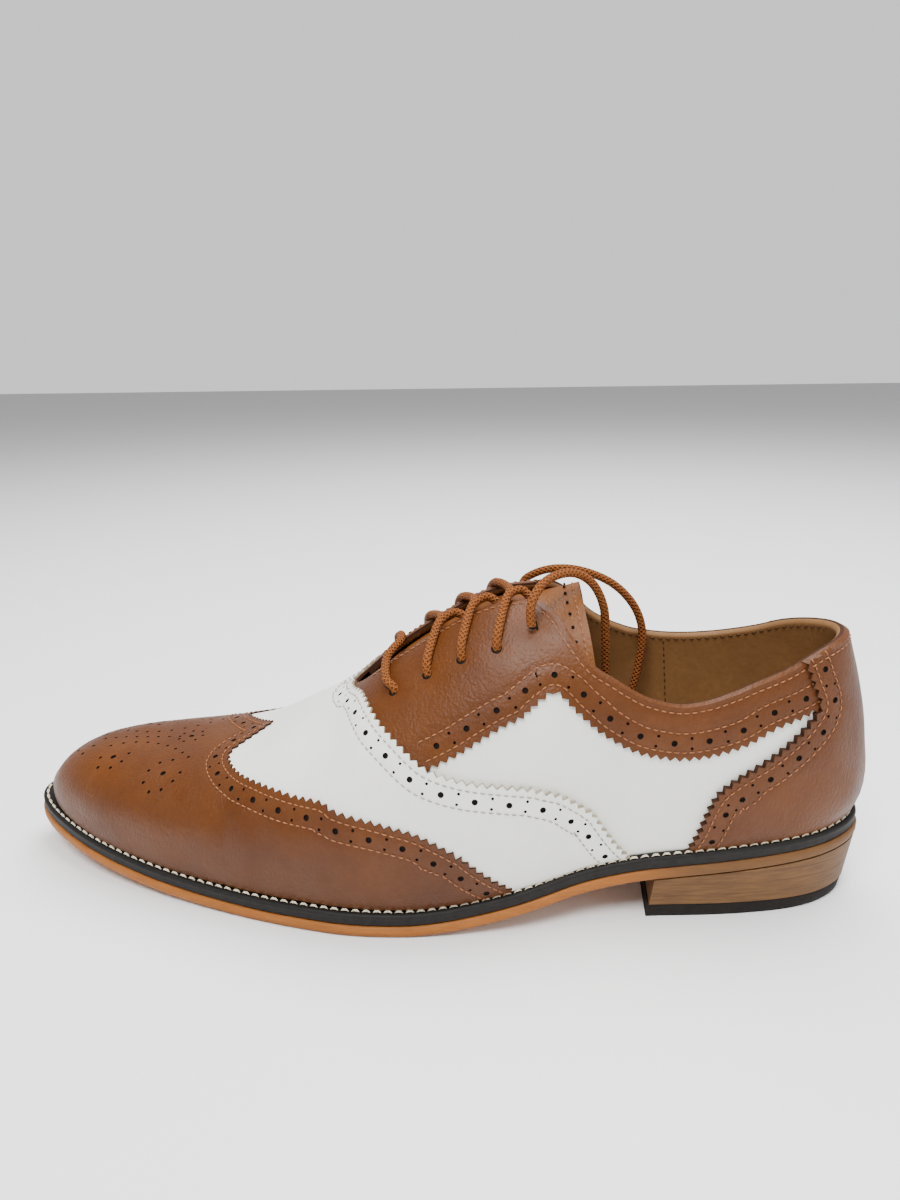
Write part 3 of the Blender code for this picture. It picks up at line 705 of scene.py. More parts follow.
@dataclass
class Panel:
    """A leather panel cut to an outline on the last, with punched holes and pressed seams."""

    name: str
    outline: np.ndarray
    base: float
    thickness: float
    holes: list = field(default_factory=list)
    seams: list = field(default_factory=list)
    step: float = 0.0025
    groove: float = 0.00022
    groove_width: float = 0.0007
    hole_depth: float = 0.0007
    hole_gap: float = 0.0002
    rim: float = 0.0007
    seam_step: float = 0.0016
    seam_shift: float = 0.0008
    seam_clear: float = 0.0006
    eyelet_from: float = 0.0015
    eyelet_dent: float = 0.0005
    eyelet_reach: float = 0.0030

    def build(self) -> bpy.types.Object:
        """Cuts the panel and wraps it round the last.

        Returns:
            The panel's object, with slots for leather, cut edge and the painted shade in its holes.
        """
        edge = LAST.points(self.outline)
        kept = []
        for spot, radius, corners in self.holes:
            centre = LAST.points(np.array([spot]))[0]
            clear = all(np.linalg.norm(centre - other) > radius + r + self.hole_gap for other, r, _ in kept)
            if clear and np.min(np.linalg.norm(edge - centre, axis=1)) > radius + self.rim:
                kept.append((centre, radius, disc(spot, radius, corners)))
        flat = [loop * CHART for loop in [self.outline] + [loop for _, _, loop in kept]]
        flat = [loop if loop_area(loop) > 0 else loop[::-1] for loop in flat]
        points = np.concatenate(flat + [self.filling(flat)])
        starts = np.cumsum([0] + [len(loop) for loop in flat])
        loops = [list(range(starts[i], starts[i + 1])) for i in range(len(flat))]
        found = delaunay_2d_cdt([Vector(p) for p in points], [], loops, 1, 1e-9, True)
        spots = np.array([tuple(p) for p in found[0]]) / CHART
        faces = []
        for face, owner in zip(found[2], found[5]):
            if owner:
                middle = np.mean(spots[face], axis=0, keepdims=True) * CHART
                faces.append((face, any(inside(middle, flat[k])[0] for k in owner if k > 0)))
        return self.wrapped(spots, faces)

    def filling(self, flat: list) -> np.ndarray:
        """Fills the outline with points, in rows, and closer together beside the seams.

        Args:
            flat: The outline and the holes' outlines on the stretched chart.

        Returns:
            The points on the stretched chart.
        """
        outline = flat[0]
        low, high = outline.min(axis=0), outline.max(axis=0)
        xs = np.arange(low[0], high[0], self.step)
        ys = np.arange(math.floor(low[1] / self.step), math.ceil(high[1] / self.step) + 1) * self.step
        grid = np.array([(x, y) for x in xs for y in ys])
        candidates = []
        for seam in self.seams:
            line = resampled(seam, np.arange(0, lengths(LAST.points(seam))[-1], self.seam_step))
            for shift in (0, self.seam_shift, -self.seam_shift):
                candidates.append((LAST.moved(line, inward(line, True) * shift) * CHART, self.seam_clear))
        taken = [np.concatenate(flat)]
        for points, clear in candidates + [(grid, 0.45 * self.step)]:
            near = search_tree(np.pad(np.concatenate(taken), ((0, 0), (0, 1))))
            points = points[inside(points, outline)]
            free = np.array([near.find((*point, 0))[2] > clear for point in points], bool)
            if free.any():
                taken.append(points[free])
        return np.concatenate(taken[1:])

    def dents(self, spots: np.ndarray, home: np.ndarray) -> np.ndarray:
        """How deep the leather is pressed in, along the seams and round the eyelets.

        Args:
            spots: The panel's spots.
            home: Their points on the last.

        Returns:
            The depth at each spot.
        """
        dent = np.zeros(len(spots))
        if self.seams:
            rows = [resampled(s, np.arange(0, lengths(LAST.points(s))[-1], 0.0008)) for s in self.seams]
            tree = search_tree(LAST.points(np.concatenate(rows)))
            away = np.array([tree.find(point)[2] for point in home])
            dent = self.groove * np.exp(-((away / self.groove_width) ** 2))
        for spot, radius, _ in self.holes:
            if radius > self.eyelet_from:
                away = np.linalg.norm(home - LAST.points(np.array([spot]))[0], axis=1)
                dent = dent + self.eyelet_dent * np.exp(-((away / self.eyelet_reach) ** 2))
        return dent

    def wrapped(self, spots: np.ndarray, faces: list) -> bpy.types.Object:
        """Wraps the flat triangles round the last, as a closed solid.

        Args:
            spots: The triangles' corners.
            faces: Each triangle, and whether it is the bottom of a hole.

        Returns:
            The panel's object.
        """
        home = LAST.points(spots)
        dent = self.dents(spots, home)
        normals = LAST.slopes(spots)[2] * LAST.skived(spots)[:, None]
        top = home + normals * (self.base + self.thickness - dent)[:, None]
        floor = home + normals * (self.base + self.thickness - self.hole_depth)
        under = home + normals * self.base
        mesh = bmesh.new()
        upper = [mesh.verts.new(p) for p in top]
        lower = [mesh.verts.new(p) for p in under]
        pits: dict[int, bmesh.types.BMVert] = {}
        edges: dict[tuple[int, int], int] = {}
        for face, hole in faces:
            turned = face[::-1]
            for i in turned:
                if hole and i not in pits:
                    pits[i] = mesh.verts.new(floor[i])
            mesh.faces.new([lower[i] for i in face]).material_index = 1
            # Hole bottoms and, below, hole walls take the third material, which is painted shade.
            shown = mesh.faces.new([pits[i] if hole else upper[i] for i in turned])
            shown.material_index = 2 if hole else 0
            for i, j in zip(turned, turned[1:] + turned[:1]):
                edges[(i, j)] = edges.get((i, j), 0) + (1 if hole else 2)
        for (i, j), kind in edges.items():
            other = edges.get((j, i), 0)
            if kind == 2 and other == 1:
                wall = mesh.faces.new([upper[j], upper[i], pits[i], pits[j]])
                wall.material_index = 2
            elif kind == 2 and other == 0 and max(spots[i, 0], spots[j, 0]) > 1e-6:
                wall = mesh.faces.new([upper[j], upper[i], lower[i], lower[j]])
                wall.material_index = 1
        bmesh.ops.delete(mesh, geom=[v for v in mesh.verts if not v.link_faces], context="VERTS")
        bmesh.ops.remove_doubles(mesh, verts=mesh.verts, dist=1e-6)
        return new_piece(self.name, mesh, sharp=35)


def new_piece(name: str, mesh: bmesh.types.BMesh, sharp: float = 40) -> bpy.types.Object:
    """Makes a smooth object of a mesh.

    Args:
        name: The object's name.
        mesh: The mesh, which is freed.
        sharp: The angle in degrees from which an edge stays sharp.

    Returns:
        The object, in the scene.
    """
    bmesh.ops.recalc_face_normals(mesh, faces=mesh.faces)
    data = bpy.data.meshes.new(name)
    mesh.to_mesh(data)
    mesh.free()
    data.shade_smooth()
    data.set_sharp_from_angle(angle=math.radians(sharp))
    obj = bpy.data.objects.new(name, data)
    bpy.context.scene.collection.objects.link(obj)
    return obj


def finished(obj: bpy.types.Object, replaced: tuple[str, ...], materials: list) -> bpy.types.Object:
    """Gives a piece its materials and its place in the frame.

    Args:
        obj: The piece.
        replaced: The names of the solids whose place it takes.
        materials: Its materials, in the order of their numbers.

    Returns:
        The piece.
    """
    for material in materials:
        obj.data.materials.append(material)
    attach(obj, "root")
    if replaced:
        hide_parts(*replaced)
    log.info("%s: %d faces", obj.name, len(obj.data.polygons))
    return obj


def paint(colour: tuple, factor: float = 1.0) -> tuple:
    """A colour with its alpha, made darker by a factor."""
    return tuple(factor * c for c in colour) + (1,)


class Nodes:
    """Short ways to add shader nodes to a material."""

    def __init__(self, name: str) -> None:
        """Starts a material.

        Args:
            name: Its name.
        """
        self.material = bpy.data.materials.new(name)
        self.material.use_nodes = True
        self.tree = self.material.node_tree
        self.shader = self.tree.nodes["Principled BSDF"]
        self.place = self.tree.nodes.new("ShaderNodeTexCoord").outputs["Object"]

    def give(self, socket: bpy.types.NodeSocket, value: Value) -> None:
        """Gives a socket a value or a link.

        Args:
            socket: The socket.
            value: The value, or the output that is linked to it.
        """
        if isinstance(value, bpy.types.NodeSocket):
            self.tree.links.new(value, socket)
        else:
            socket.default_value = value

    def add(self, kind: str, inputs: dict, **settings: str) -> bpy.types.Node:
        """Adds a node.

        Args:
            kind: Its type.
            inputs: Values or links for its inputs.
            **settings: Values for its own settings.

        Returns:
            The node.
        """
        node = self.tree.nodes.new(kind)
        for key, value in settings.items():
            setattr(node, key, value)
        for key, value in inputs.items():
            self.give(node.inputs[key], value)
        return node

    def noise(
        self, scale: float, detail: float = 2, roughness: float = 0.5, place: Value | None = None
    ) -> bpy.types.NodeSocket:
        """A noise value over the piece."""
        inputs = {"Vector": place or self.place, "Scale": scale, "Detail": detail, "Roughness": roughness}
        return self.add("ShaderNodeTexNoise", inputs).outputs["Fac"]

    def stretched(self, scale: tuple) -> bpy.types.NodeSocket:
        """The place on the piece, with each axis scaled."""
        return self.add("ShaderNodeMapping", {"Vector": self.place, "Scale": scale}).outputs["Vector"]

    def axis(self, name: str, place: Value | None = None) -> bpy.types.NodeSocket:
        """One coordinate of a place."""
        return self.add("ShaderNodeSeparateXYZ", {"Vector": place or self.place}).outputs[name]

    def figured(self, operation: str, *values: Value) -> bpy.types.NodeSocket:
        """The result of a calculation."""
        return self.add("ShaderNodeMath", dict(enumerate(values)), operation=operation).outputs[0]

    def cells(self, scale: float) -> bpy.types.NodeSocket:
        """The distance to the nearest cell centre, for grain."""
        return self.add("ShaderNodeTexVoronoi", {"Vector": self.place, "Scale": scale}).outputs["Distance"]

    def ranged(
        self, value: Value, low: float, high: float, to_low: float, to_high: float
    ) -> bpy.types.NodeSocket:
        """Maps a value from one range to another."""
        inputs = {"Value": value, "From Min": low, "From Max": high, "To Min": to_low, "To Max": to_high}
        return self.add("ShaderNodeMapRange", inputs).outputs["Result"]

    def mixed(self, factor: Value, a: Value, b: Value) -> bpy.types.NodeSocket:
        """A blend of two colours.

        Args:
            factor: The share of the second.
            a: The first colour.
            b: The second colour.

        Returns:
            The blended colour.
        """
        node = self.add("ShaderNodeMix", {}, data_type="RGBA")
        for name, value in (("Factor", factor), ("A", a), ("B", b)):
            self.give(next(s for s in node.inputs if s.name == name and s.enabled), value)
        return next(s for s in node.outputs if s.enabled)

    def bump(
        self, height: Value, strength: float, distance: float, below: Value | None = None
    ) -> bpy.types.NodeSocket:
        """A bump, on top of another if given.

        Args:
            height: The height value.
            strength: The bump's strength.
            distance: The bump's distance.
            below: The normal of the bump below.

        Returns:
            The normal.
        """
        inputs = {"Height": height, "Strength": strength, "Distance": distance}
        if below is not None:
            inputs["Normal"] = below
        return self.add("ShaderNodeBump", inputs).outputs["Normal"]

    def set(self, **inputs: Value) -> bpy.types.Material:
        """Sets the shader's own inputs.

        Args:
            **inputs: Values or links, by the inputs' names with underscores.

        Returns:
            The material.
        """
        for key, value in inputs.items():
            self.give(self.shader.inputs[key.replace("_", " ")], value)
        return self.material


@dataclass(frozen=True)
class Finish:
    """What every finish has: a name, two colours that it wavers between and a roughness."""

    name: str
    colour: tuple
    shade: tuple
    roughness: float


@dataclass(frozen=True)
class Leather(Finish):
    """A grained leather finish, which can carry painted shade: darker towards the sole."""

    coat: float
    grain: float
    grain_size: float = 1100.0
    # How strongly painted shade darkens the colour low on the upper, near the sole.
    burnish: float = 0.0

    def build(self) -> bpy.types.Material:
        """Makes the material.

        Returns:
            The material.
        """
        n = Nodes(self.name)
        cloud = n.noise(28, 4, 0.6)
        colour = n.mixed(n.ranged(cloud, 0.35, 0.7, 0, 1), paint(self.colour), paint(self.shade))
        fine = n.noise(420, 3)
        colour = n.mixed(n.ranged(fine, 0.3, 0.7, 0, 0.35), colour, paint(self.shade))
        # Painted shade: low on the upper, near the sole, the colour darkens towards a dark copy of its shade.
        if self.burnish:
            low = n.ranged(n.axis("Z"), 0.012, 0.034, self.burnish, 0)
            colour = n.mixed(low, colour, paint(self.shade, 0.35))
        tall = n.stretched((1.0, 1.0, 0.5))
        wrinkled = n.bump(n.noise(self.grain_size, 2, 0.5, tall), self.grain, 0.0006)
        pebbles = n.bump(n.cells(self.grain_size), 0.6 * self.grain, 0.0003, wrinkled)
        waves = n.bump(n.noise(240, 3), 0.25 * self.grain, 0.0006, pebbles)
        soft = n.bump(n.noise(30, 2), 0.10, 0.002, waves)
        rough = n.ranged(n.noise(90, 3), 0.3, 0.7, self.roughness - 0.06, self.roughness + 0.08)
        return n.set(
            Base_Color=colour,
            Roughness=rough,
            Normal=soft,
            Coat_Weight=self.coat,
            Coat_Roughness=0.25,
            Specular_IOR_Level=0.26,
        )


@dataclass(frozen=True)
class Plain(Finish):
    """A plain finish with a little mottling."""

    scale: float = 300.0
    bump: float = 0.2

    def build(self) -> bpy.types.Material:
        """Makes the material.

        Returns:
            The material.
        """
        n = Nodes(self.name)
        noise = n.noise(self.scale, 3)
        colour = n.mixed(n.ranged(noise, 0.3, 0.7, 0, 1), paint(self.colour), paint(self.shade))
        normal = n.bump(noise, self.bump, 0.0004)
        return n.set(Base_Color=colour, Roughness=self.roughness, Normal=normal, Specular_IOR_Level=0.25)


@dataclass(frozen=True)
class Layers(Finish):
    """Stacked leather seen from its cut edge: thin level lines and a streaky grain."""

    pitch: float
    over_heel: tuple = ()

    def build(self) -> bpy.types.Material:
        """Makes the material.

        Returns:
            The material.
        """
        n = Nodes(self.name)
        streak = n.noise(900, 4, 0.6, n.stretched((0.12, 0.12, 1.0)))
        wave = n.figured("FRACT", n.figured("MULTIPLY", n.axis("Z"), 1 / self.pitch))
        line = n.ranged(wave, 0.0, 0.12, 1, 0)
        colour = n.mixed(n.ranged(streak, 0.3, 0.7, 0, 1), paint(self.colour), paint(self.shade))
        colour = n.mixed(n.ranged(line, 0, 1, 0, 0.5), colour, paint(self.shade, 0.35))
        if self.over_heel:
            breast = HEEL_BREAST - SOLE_LENGTH / 2
            heel = n.mixed(streak, paint(self.over_heel), paint(self.over_heel, 0.6))
            colour = n.mixed(n.ranged(n.axis("X"), breast - 0.012, breast + 0.012, 0, 1), colour, heel)
        normal = n.bump(streak, 0.25, 0.0004)
        return n.set(Base_Color=colour, Roughness=self.roughness, Normal=normal, Specular_IOR_Level=0.3)


@dataclass(frozen=True)
class Cord(Finish):
    """Waxed braided cord, on a UV map that runs along and round it, with painted shade between its strands."""

    strands: float = 620.0
    turns: float = 5.0

    def build(self) -> bpy.types.Material:
        """Makes the material.

        Returns:
            The material.
        """
        n = Nodes(self.name)
        uv = n.add("ShaderNodeUVMap", {}, uv_map="UVMap").outputs["UV"]
        strands = []
        for turn in (1, -1):
            along = n.figured("MULTIPLY", n.axis("X", uv), self.strands)
            about = n.figured("MULTIPLY", n.axis("Y", uv), self.turns * turn)
            turned = n.figured("MULTIPLY", n.figured("ADD", along, about), 2 * math.pi)
            strands.append(n.figured("SINE", turned))
        weave = n.figured("MAXIMUM", *strands)
        fuzz = n.noise(1400, 3)
        # Painted shade: the colour darkens in the valleys between the strands of the weave.
        colour = n.mixed(n.ranged(weave, -0.4, 1, 0.6, 0), paint(self.colour), paint(self.shade))
        colour = n.mixed(n.ranged(fuzz, 0.35, 0.75, 0, 0.4), colour, paint(self.shade))
        normal = n.bump(weave, 1.0, 0.0005)
        return n.set(Base_Color=colour, Roughness=self.roughness, Normal=normal, Specular_IOR_Level=0.25)


# The brown leather carries painted shade near the sole.
BROWN = Leather(
    "cognac_leather_worked", (0.108, 0.0305, 0.0026), (0.067, 0.0170, 0.0014), 0.46, 0.02, 0.36, burnish=0.25
)
TONGUE = Leather("tongue_leather_worked", (0.165, 0.052, 0.0050), (0.110, 0.032, 0.0030), 0.46, 0.03, 0.35)
WHITE = Leather("white_leather_worked", (0.83, 0.83, 0.77), (0.78, 0.78, 0.72), 0.50, 0.06, 0.16, 900)
LINING = Leather("lining_leather", (0.250, 0.125, 0.045), (0.165, 0.078, 0.026), 0.62, 0.0, 0.25, 500)
EDGE_BROWN = Plain("cut_edge_brown", (0.045, 0.014, 0.003), (0.026, 0.008, 0.002), 0.85)
EDGE_WHITE = Plain("cut_edge_white", (0.40, 0.35, 0.25), (0.26, 0.22, 0.15), 0.8)
# Painted shade: the near-black colour of the holes' bottoms and walls, and of the tongue's hole marks.
HOLE_SHADE = Plain("hole_painted_shade", (0.008, 0.004, 0.002), (0.004, 0.003, 0.002), 0.9)
THREAD_TAN = Plain("thread_tan", (0.36, 0.15, 0.065), (0.20, 0.075, 0.030), 0.7, 1500)
THREAD_DARK = Plain("thread_dark", (0.10, 0.045, 0.018), (0.06, 0.027, 0.011), 0.8, 1500)
THREAD_GREY = Plain("thread_grey", (0.34, 0.32, 0.26), (0.22, 0.20, 0.16), 0.7, 1500)
THREAD_CREAM = Plain("thread_cream", (0.80, 0.72, 0.54), (0.48, 0.40, 0.28), 0.6, 1500)
BLACK = Plain("welt_black", (0.006, 0.005, 0.0045), (0.011, 0.009, 0.008), 0.6, 500, 0.15)
SOLE_EDGE = Layers(
    "outsole_leather", (0.33, 0.110, 0.016), (0.25, 0.080, 0.011), 0.6, 0.0200, over_heel=(0.155, 0.066, 0.017)
)
HEEL_SIDE = Layers("heel_layers", (0.150, 0.070, 0.020), (0.085, 0.036, 0.010), 0.6, 0.0044)
RUBBER = Plain("heel_rubber_worked", (0.010, 0.007, 0.005), (0.006, 0.004, 0.003), 0.8, 600)
LACE = Cord("lace_cord_worked", (0.30, 0.088, 0.013), (0.11, 0.030, 0.004), 0.75)


@dataclass(frozen=True)
class Camera:
    """The camera at the photograph's angle, in metres, degrees and millimetres."""

    place: tuple = (0.0469, -0.2706, 0.1846)
    pitch: float = 16.95
    yaw: float = 7.54
    roll: float = -1.06
    lens: float = 24.55
    sensor: float = 36

    def build(self) -> None:
        """Adds the camera to the scene."""
        data = bpy.data.cameras.new("camera")
        data.lens = self.lens
        data.sensor_width = self.sensor
        data.sensor_fit = "AUTO"
        data.clip_start = 0.01
        obj = bpy.data.objects.new("camera", data)
        bpy.context.scene.collection.objects.link(obj)
        turn = Matrix.Rotation(math.radians(self.yaw), 4, "Z")
        tilt = Matrix.Rotation(math.radians(90 - self.pitch), 4, "X")
        roll = Matrix.Rotation(math.radians(self.roll), 4, "Z")
        obj.matrix_world = Matrix.Translation(self.place) @ turn @ tilt @ roll
        bpy.context.scene.camera = obj


@dataclass(frozen=True)
class Studio:
    """A pale floor and soft light: a sky that darkens with height, and lamps by place, watts and size."""

    floor_size: float = 4
    floor_shade: float = 0.93
    sky: tuple = (("From Min", 0.35), ("From Max", 0.60), ("To Min", 0.95), ("To Max", 0.25))
    aim: tuple = (0, 0, 0.04)
    lamps: tuple = (
        ("key", (-0.10, -0.55, 1.00), 15.0, 0.40),
        ("top", (0.15, 0.30, 1.10), 24.0, 0.9),
        ("side", (0.95, -0.35, 0.60), 2.0, 0.5),
    )

    def build(self) -> None:
        """Adds the floor, the sky and the lamps."""
        mesh = bmesh.new()
        bmesh.ops.create_grid(mesh, x_segments=1, y_segments=1, size=self.floor_size)
        floor = new_piece("floor", mesh)
        colour = paint((self.floor_shade,) * 3)
        floor.data.materials.append(Nodes("floor_paint").set(Base_Color=colour, Roughness=0.8))
        self.build_sky()
        for name, place, watts, size in self.lamps:
            light = bpy.data.lights.new(name, "AREA")
            light.energy = watts
            light.size = size
            lamp = bpy.data.objects.new(name, light)
            bpy.context.scene.collection.objects.link(lamp)
            lamp.location = place
            lamp.rotation_euler = (Vector(self.aim) - Vector(place)).to_track_quat("-Z", "Y").to_euler()

    def build_sky(self) -> None:
        """Adds the sky."""
        world = bpy.data.worlds.new("studio")
        world.use_nodes = True
        tree = world.node_tree
        background = tree.nodes["Background"]
        background.inputs["Color"].default_value = (1, 1, 1, 1)
        place = tree.nodes.new("ShaderNodeTexCoord").outputs["Generated"]
        split = tree.nodes.new("ShaderNodeSeparateXYZ")
        fall = tree.nodes.new("ShaderNodeMapRange")
        for name, value in self.sky:
            fall.inputs[name].default_value = value
        tree.links.new(place, split.inputs["Vector"])
        tree.links.new(split.outputs["Z"], fall.inputs["Value"])
        tree.links.new(fall.outputs["Result"], background.inputs["Strength"])
        bpy.context.scene.world = world


def smooth_line(corners: list, steps: int) -> np.ndarray:
    """A smooth curve through points.

    Args:
        corners: The points.
        steps: How many pieces lie between two of them.

    Returns:
        The curve's points.
    """
    spots = np.array(corners, float)
    points = []
    for i in range(len(spots) - 1):
        before, start, end = spots[max(i - 1, 0)], spots[i], spots[i + 1]
        after = spots[min(i + 2, len(spots) - 1)]
        for k in range(steps):
            t = k / steps
            rising = 3 * t * t - 2 * t**3
            ends = (t**3 - 2 * t * t + t) * (end - before) / 2 + (t**3 - t * t) * (after - start) / 2
            points.append(start * (1 - rising) + end * rising + ends)
    return np.array(points + [spots[-1]])


def add_tube(mesh: bmesh.types.BMesh, points: np.ndarray, radius: float, around: int = 12) -> None:
    """Adds a closed round tube, with a UV map in metres along it and turns round it.

    Args:
        mesh: The mesh that it is added to.
        points: The tube's middle line.
        radius: Its radius.
        around: How many corners it has.
    """
    layer = mesh.loops.layers.uv.get("UVMap") or mesh.loops.layers.uv.new("UVMap")
    run = lengths(points)
    tangents = np.gradient(points, axis=0)
    tangents /= np.linalg.norm(tangents, axis=1, keepdims=True)
    up = np.cross(tangents[0], (0.3, 0.2, 0.9))
    rings = []
    for point, tangent in zip(points, tangents):
        up = up - tangent * (up @ tangent)
        up /= np.linalg.norm(up)
        side = np.cross(tangent, up)
        turn = np.linspace(0, 2 * math.pi, around, endpoint=False)
        rings.append([mesh.verts.new(point + radius * (math.cos(a) * up + math.sin(a) * side)) for a in turn])
    for i in range(len(rings) - 1):
        for j in range(around):
            k = (j + 1) % around
            face = mesh.faces.new([rings[i][j], rings[i][k], rings[i + 1][k], rings[i + 1][j]])
            uv = ((run[i], j), (run[i], j + 1), (run[i + 1], j + 1), (run[i + 1], j))
            for corner, (u, v) in zip(face.loops, uv):
                corner[layer].uv = (u, v / around)
    mesh.faces.new(rings[0][::-1])
    mesh.faces.new(rings[-1])


@dataclass(frozen=True)
class Laces:
    """Four crossings, their slanting runs under the facings, and two loose ends."""

    radius: float = LACE_DIAMETER / 2
    crossings: int = 4
    end_steps: int = 6
    bar_steps: int = 4
    first_bend: float = -0.0060

    def route(self, name: str) -> np.ndarray:
        """The loose end's route, as in the CAD part."""
        scale = np.array((SOLE_LENGTH, HALF_BALL, INSTEP_RISE))
        return smooth_line(np.array(LACE_ROUTES[name]) * scale - (SOLE_LENGTH / 2, 0, 0), self.end_steps)

    def build_ends(self, cord: bpy.types.Material) -> None:
        """Args:
            cord: Their material.
        """
        for name in LACE_ROUTES:
            points = self.route(name)
            mesh = bmesh.new()
            add_tube(mesh, points, self.radius)
            piece = finished(new_piece(name + "_braid", mesh), (name,), [cord])

    def build_bars(self, cord: bpy.types.Material) -> None:
        """Makes the crossings, which dip into their eyelets, and the runs that branch off under a facing.

        Args:
            cord: Their material.
        """
        near, far = EYELET_SIDES
        slide = EYELET_SLIDE
        for i in range(self.crossings):
            x = EYELET_FIRST + i * EYELET_PITCH
            bend = self.first_bend if i == 0 else 0.0
            reach = (
                (0, -near, -0.0014),
                (0, 0.0012 - near, 0.0012),
                (0.0008 + bend / 2, 0.0045 - near, 0.0027),
                (0.0024 + bend, -0.0130, 0.0027),
                (0.0036 + bend, -0.0085, 0.0026),
                (0.0018 + bend / 2, -0.0025, 0.0016),
                (0.3 * slide, 0.0040, 0.0022),
                (0.7 * slide, 0.0100, 0.0026),
                (0.95 * slide, far - 0.0030, 0.0026),
                (slide, far - 0.0010, 0.0012),
                (slide, far, -0.0014),
            )
            branch = (
                (0.0030, -0.0100, 0.0024),
                (0.0050, -0.0080, 0.0022),
                (0.0074, -0.0066, 0.0012),
                (0.0096, -0.0074, -0.0012),
            )
            mesh = bmesh.new()
            for rows in (reach, branch) if i > 0 else (reach,):
                add_tube(mesh, self.laid(x, rows), self.radius)
            name = f"lace_bar_{i + 1}"
            finished(new_piece(name + "_braid", mesh), (name,), [cord])

    def laid(self, x: float, reach: tuple) -> np.ndarray:
        """A lace over the closed last.

        Args:
            x: Where its eyelet lies, from the sole's toe.
            reach: Rows of how far past x, how far from the ridge and how high.

        Returns:
            The points of its middle line.
        """
        corners = []
        for past, y, lift in reach:
            point, normal = LAST.closed(x + past, y)
            corners.append(point + normal * lift)
        return smooth_line(corners, self.bar_steps)


@dataclass
class Stitching:
    """Stitches of one thread, gathered into one mesh."""

    name: str
    pitch: float
    length: float
    width: float
    mesh: bmesh.types.BMesh = field(default_factory=bmesh.new)

    def add(self, start: np.ndarray, end: np.ndarray, up: np.ndarray) -> None:
        """Adds one stitch, arched over the surface.

        Args:
            start: Where the thread comes out.
            end: Where it goes in again.
            up: The way out of the surface.
        """
        along = end - start
        side = np.cross(up, along)
        side *= self.width / 2 / max(np.linalg.norm(side), 1e-9)
        rise = up * self.width / 2
        rings = []
        for t, size, lift in STITCH_SECTIONS:
            centre = start + along * t + rise * lift
            corners = ((side, 0.0), (0 * side, 1.0), (-side, 0.0), (0 * side, -0.8))
            rings.append([self.mesh.verts.new(centre + size * (a + rise * b)) for a, b in corners])
        for before, after in zip(rings, rings[1:]):
            for k in range(4):
                self.mesh.faces.new([before[k], before[(k + 1) % 4], after[(k + 1) % 4], after[k]])
        self.mesh.faces.new(rings[0][::-1])
        self.mesh.faces.new(rings[-1])

    def run(self, seam: np.ndarray, offset: float, inside_out: bool = False) -> None:
        """Sews along a line on the last.

        Args:
            seam: The line's spots.
            offset: How far outwards the stitches lie.
            inside_out: Whether they are seen from inside the shoe.
        """
        total = lengths(LAST.points(seam))[-1]
        count = max(int(total / self.pitch), 1)
        middles = (np.arange(count) + 0.5) * total / count
        starts = resampled(seam, middles - self.length / 2)
        ends = resampled(seam, middles + self.length / 2)
        normals = LAST.slopes(starts)[2]
        begin = LAST.lifted(starts, offset * LAST.skived(starts))
        finish = LAST.lifted(ends, offset * LAST.skived(ends))
        for start, end, normal in zip(begin, finish, normals):
            if 0.5 * self.length < np.linalg.norm(end - start) < 1.6 * self.length:
                self.add(start, end, -normal if inside_out else normal)

    def sew(self, points: np.ndarray, ups: np.ndarray, lift: float = 0.0) -> None:
        """Sews along a line in space.

        Args:
            points: The line's points.
            ups: The way out of the surface at each.
            lift: How far above the line the stitches lie.
        """
        run = lengths(points)
        count = int(run[-1] / self.pitch)
        for k in range(count):
            middle = (k + 0.5) * run[-1] / count
            up = ups[int(k * len(points) / count)]
            start, end = (
                np.array([np.interp(middle + s * self.length / 2, run, points[:, i]) for i in range(3)])
                for s in (-1, 1)
            )
            self.add(start + lift * up, end + lift * up, up)

    def build(self, slot: str, thread: bpy.types.Material) -> None:
        """Finishes the mesh."""
        finished(new_piece(self.name, self.mesh, sharp=60), (), [thread])


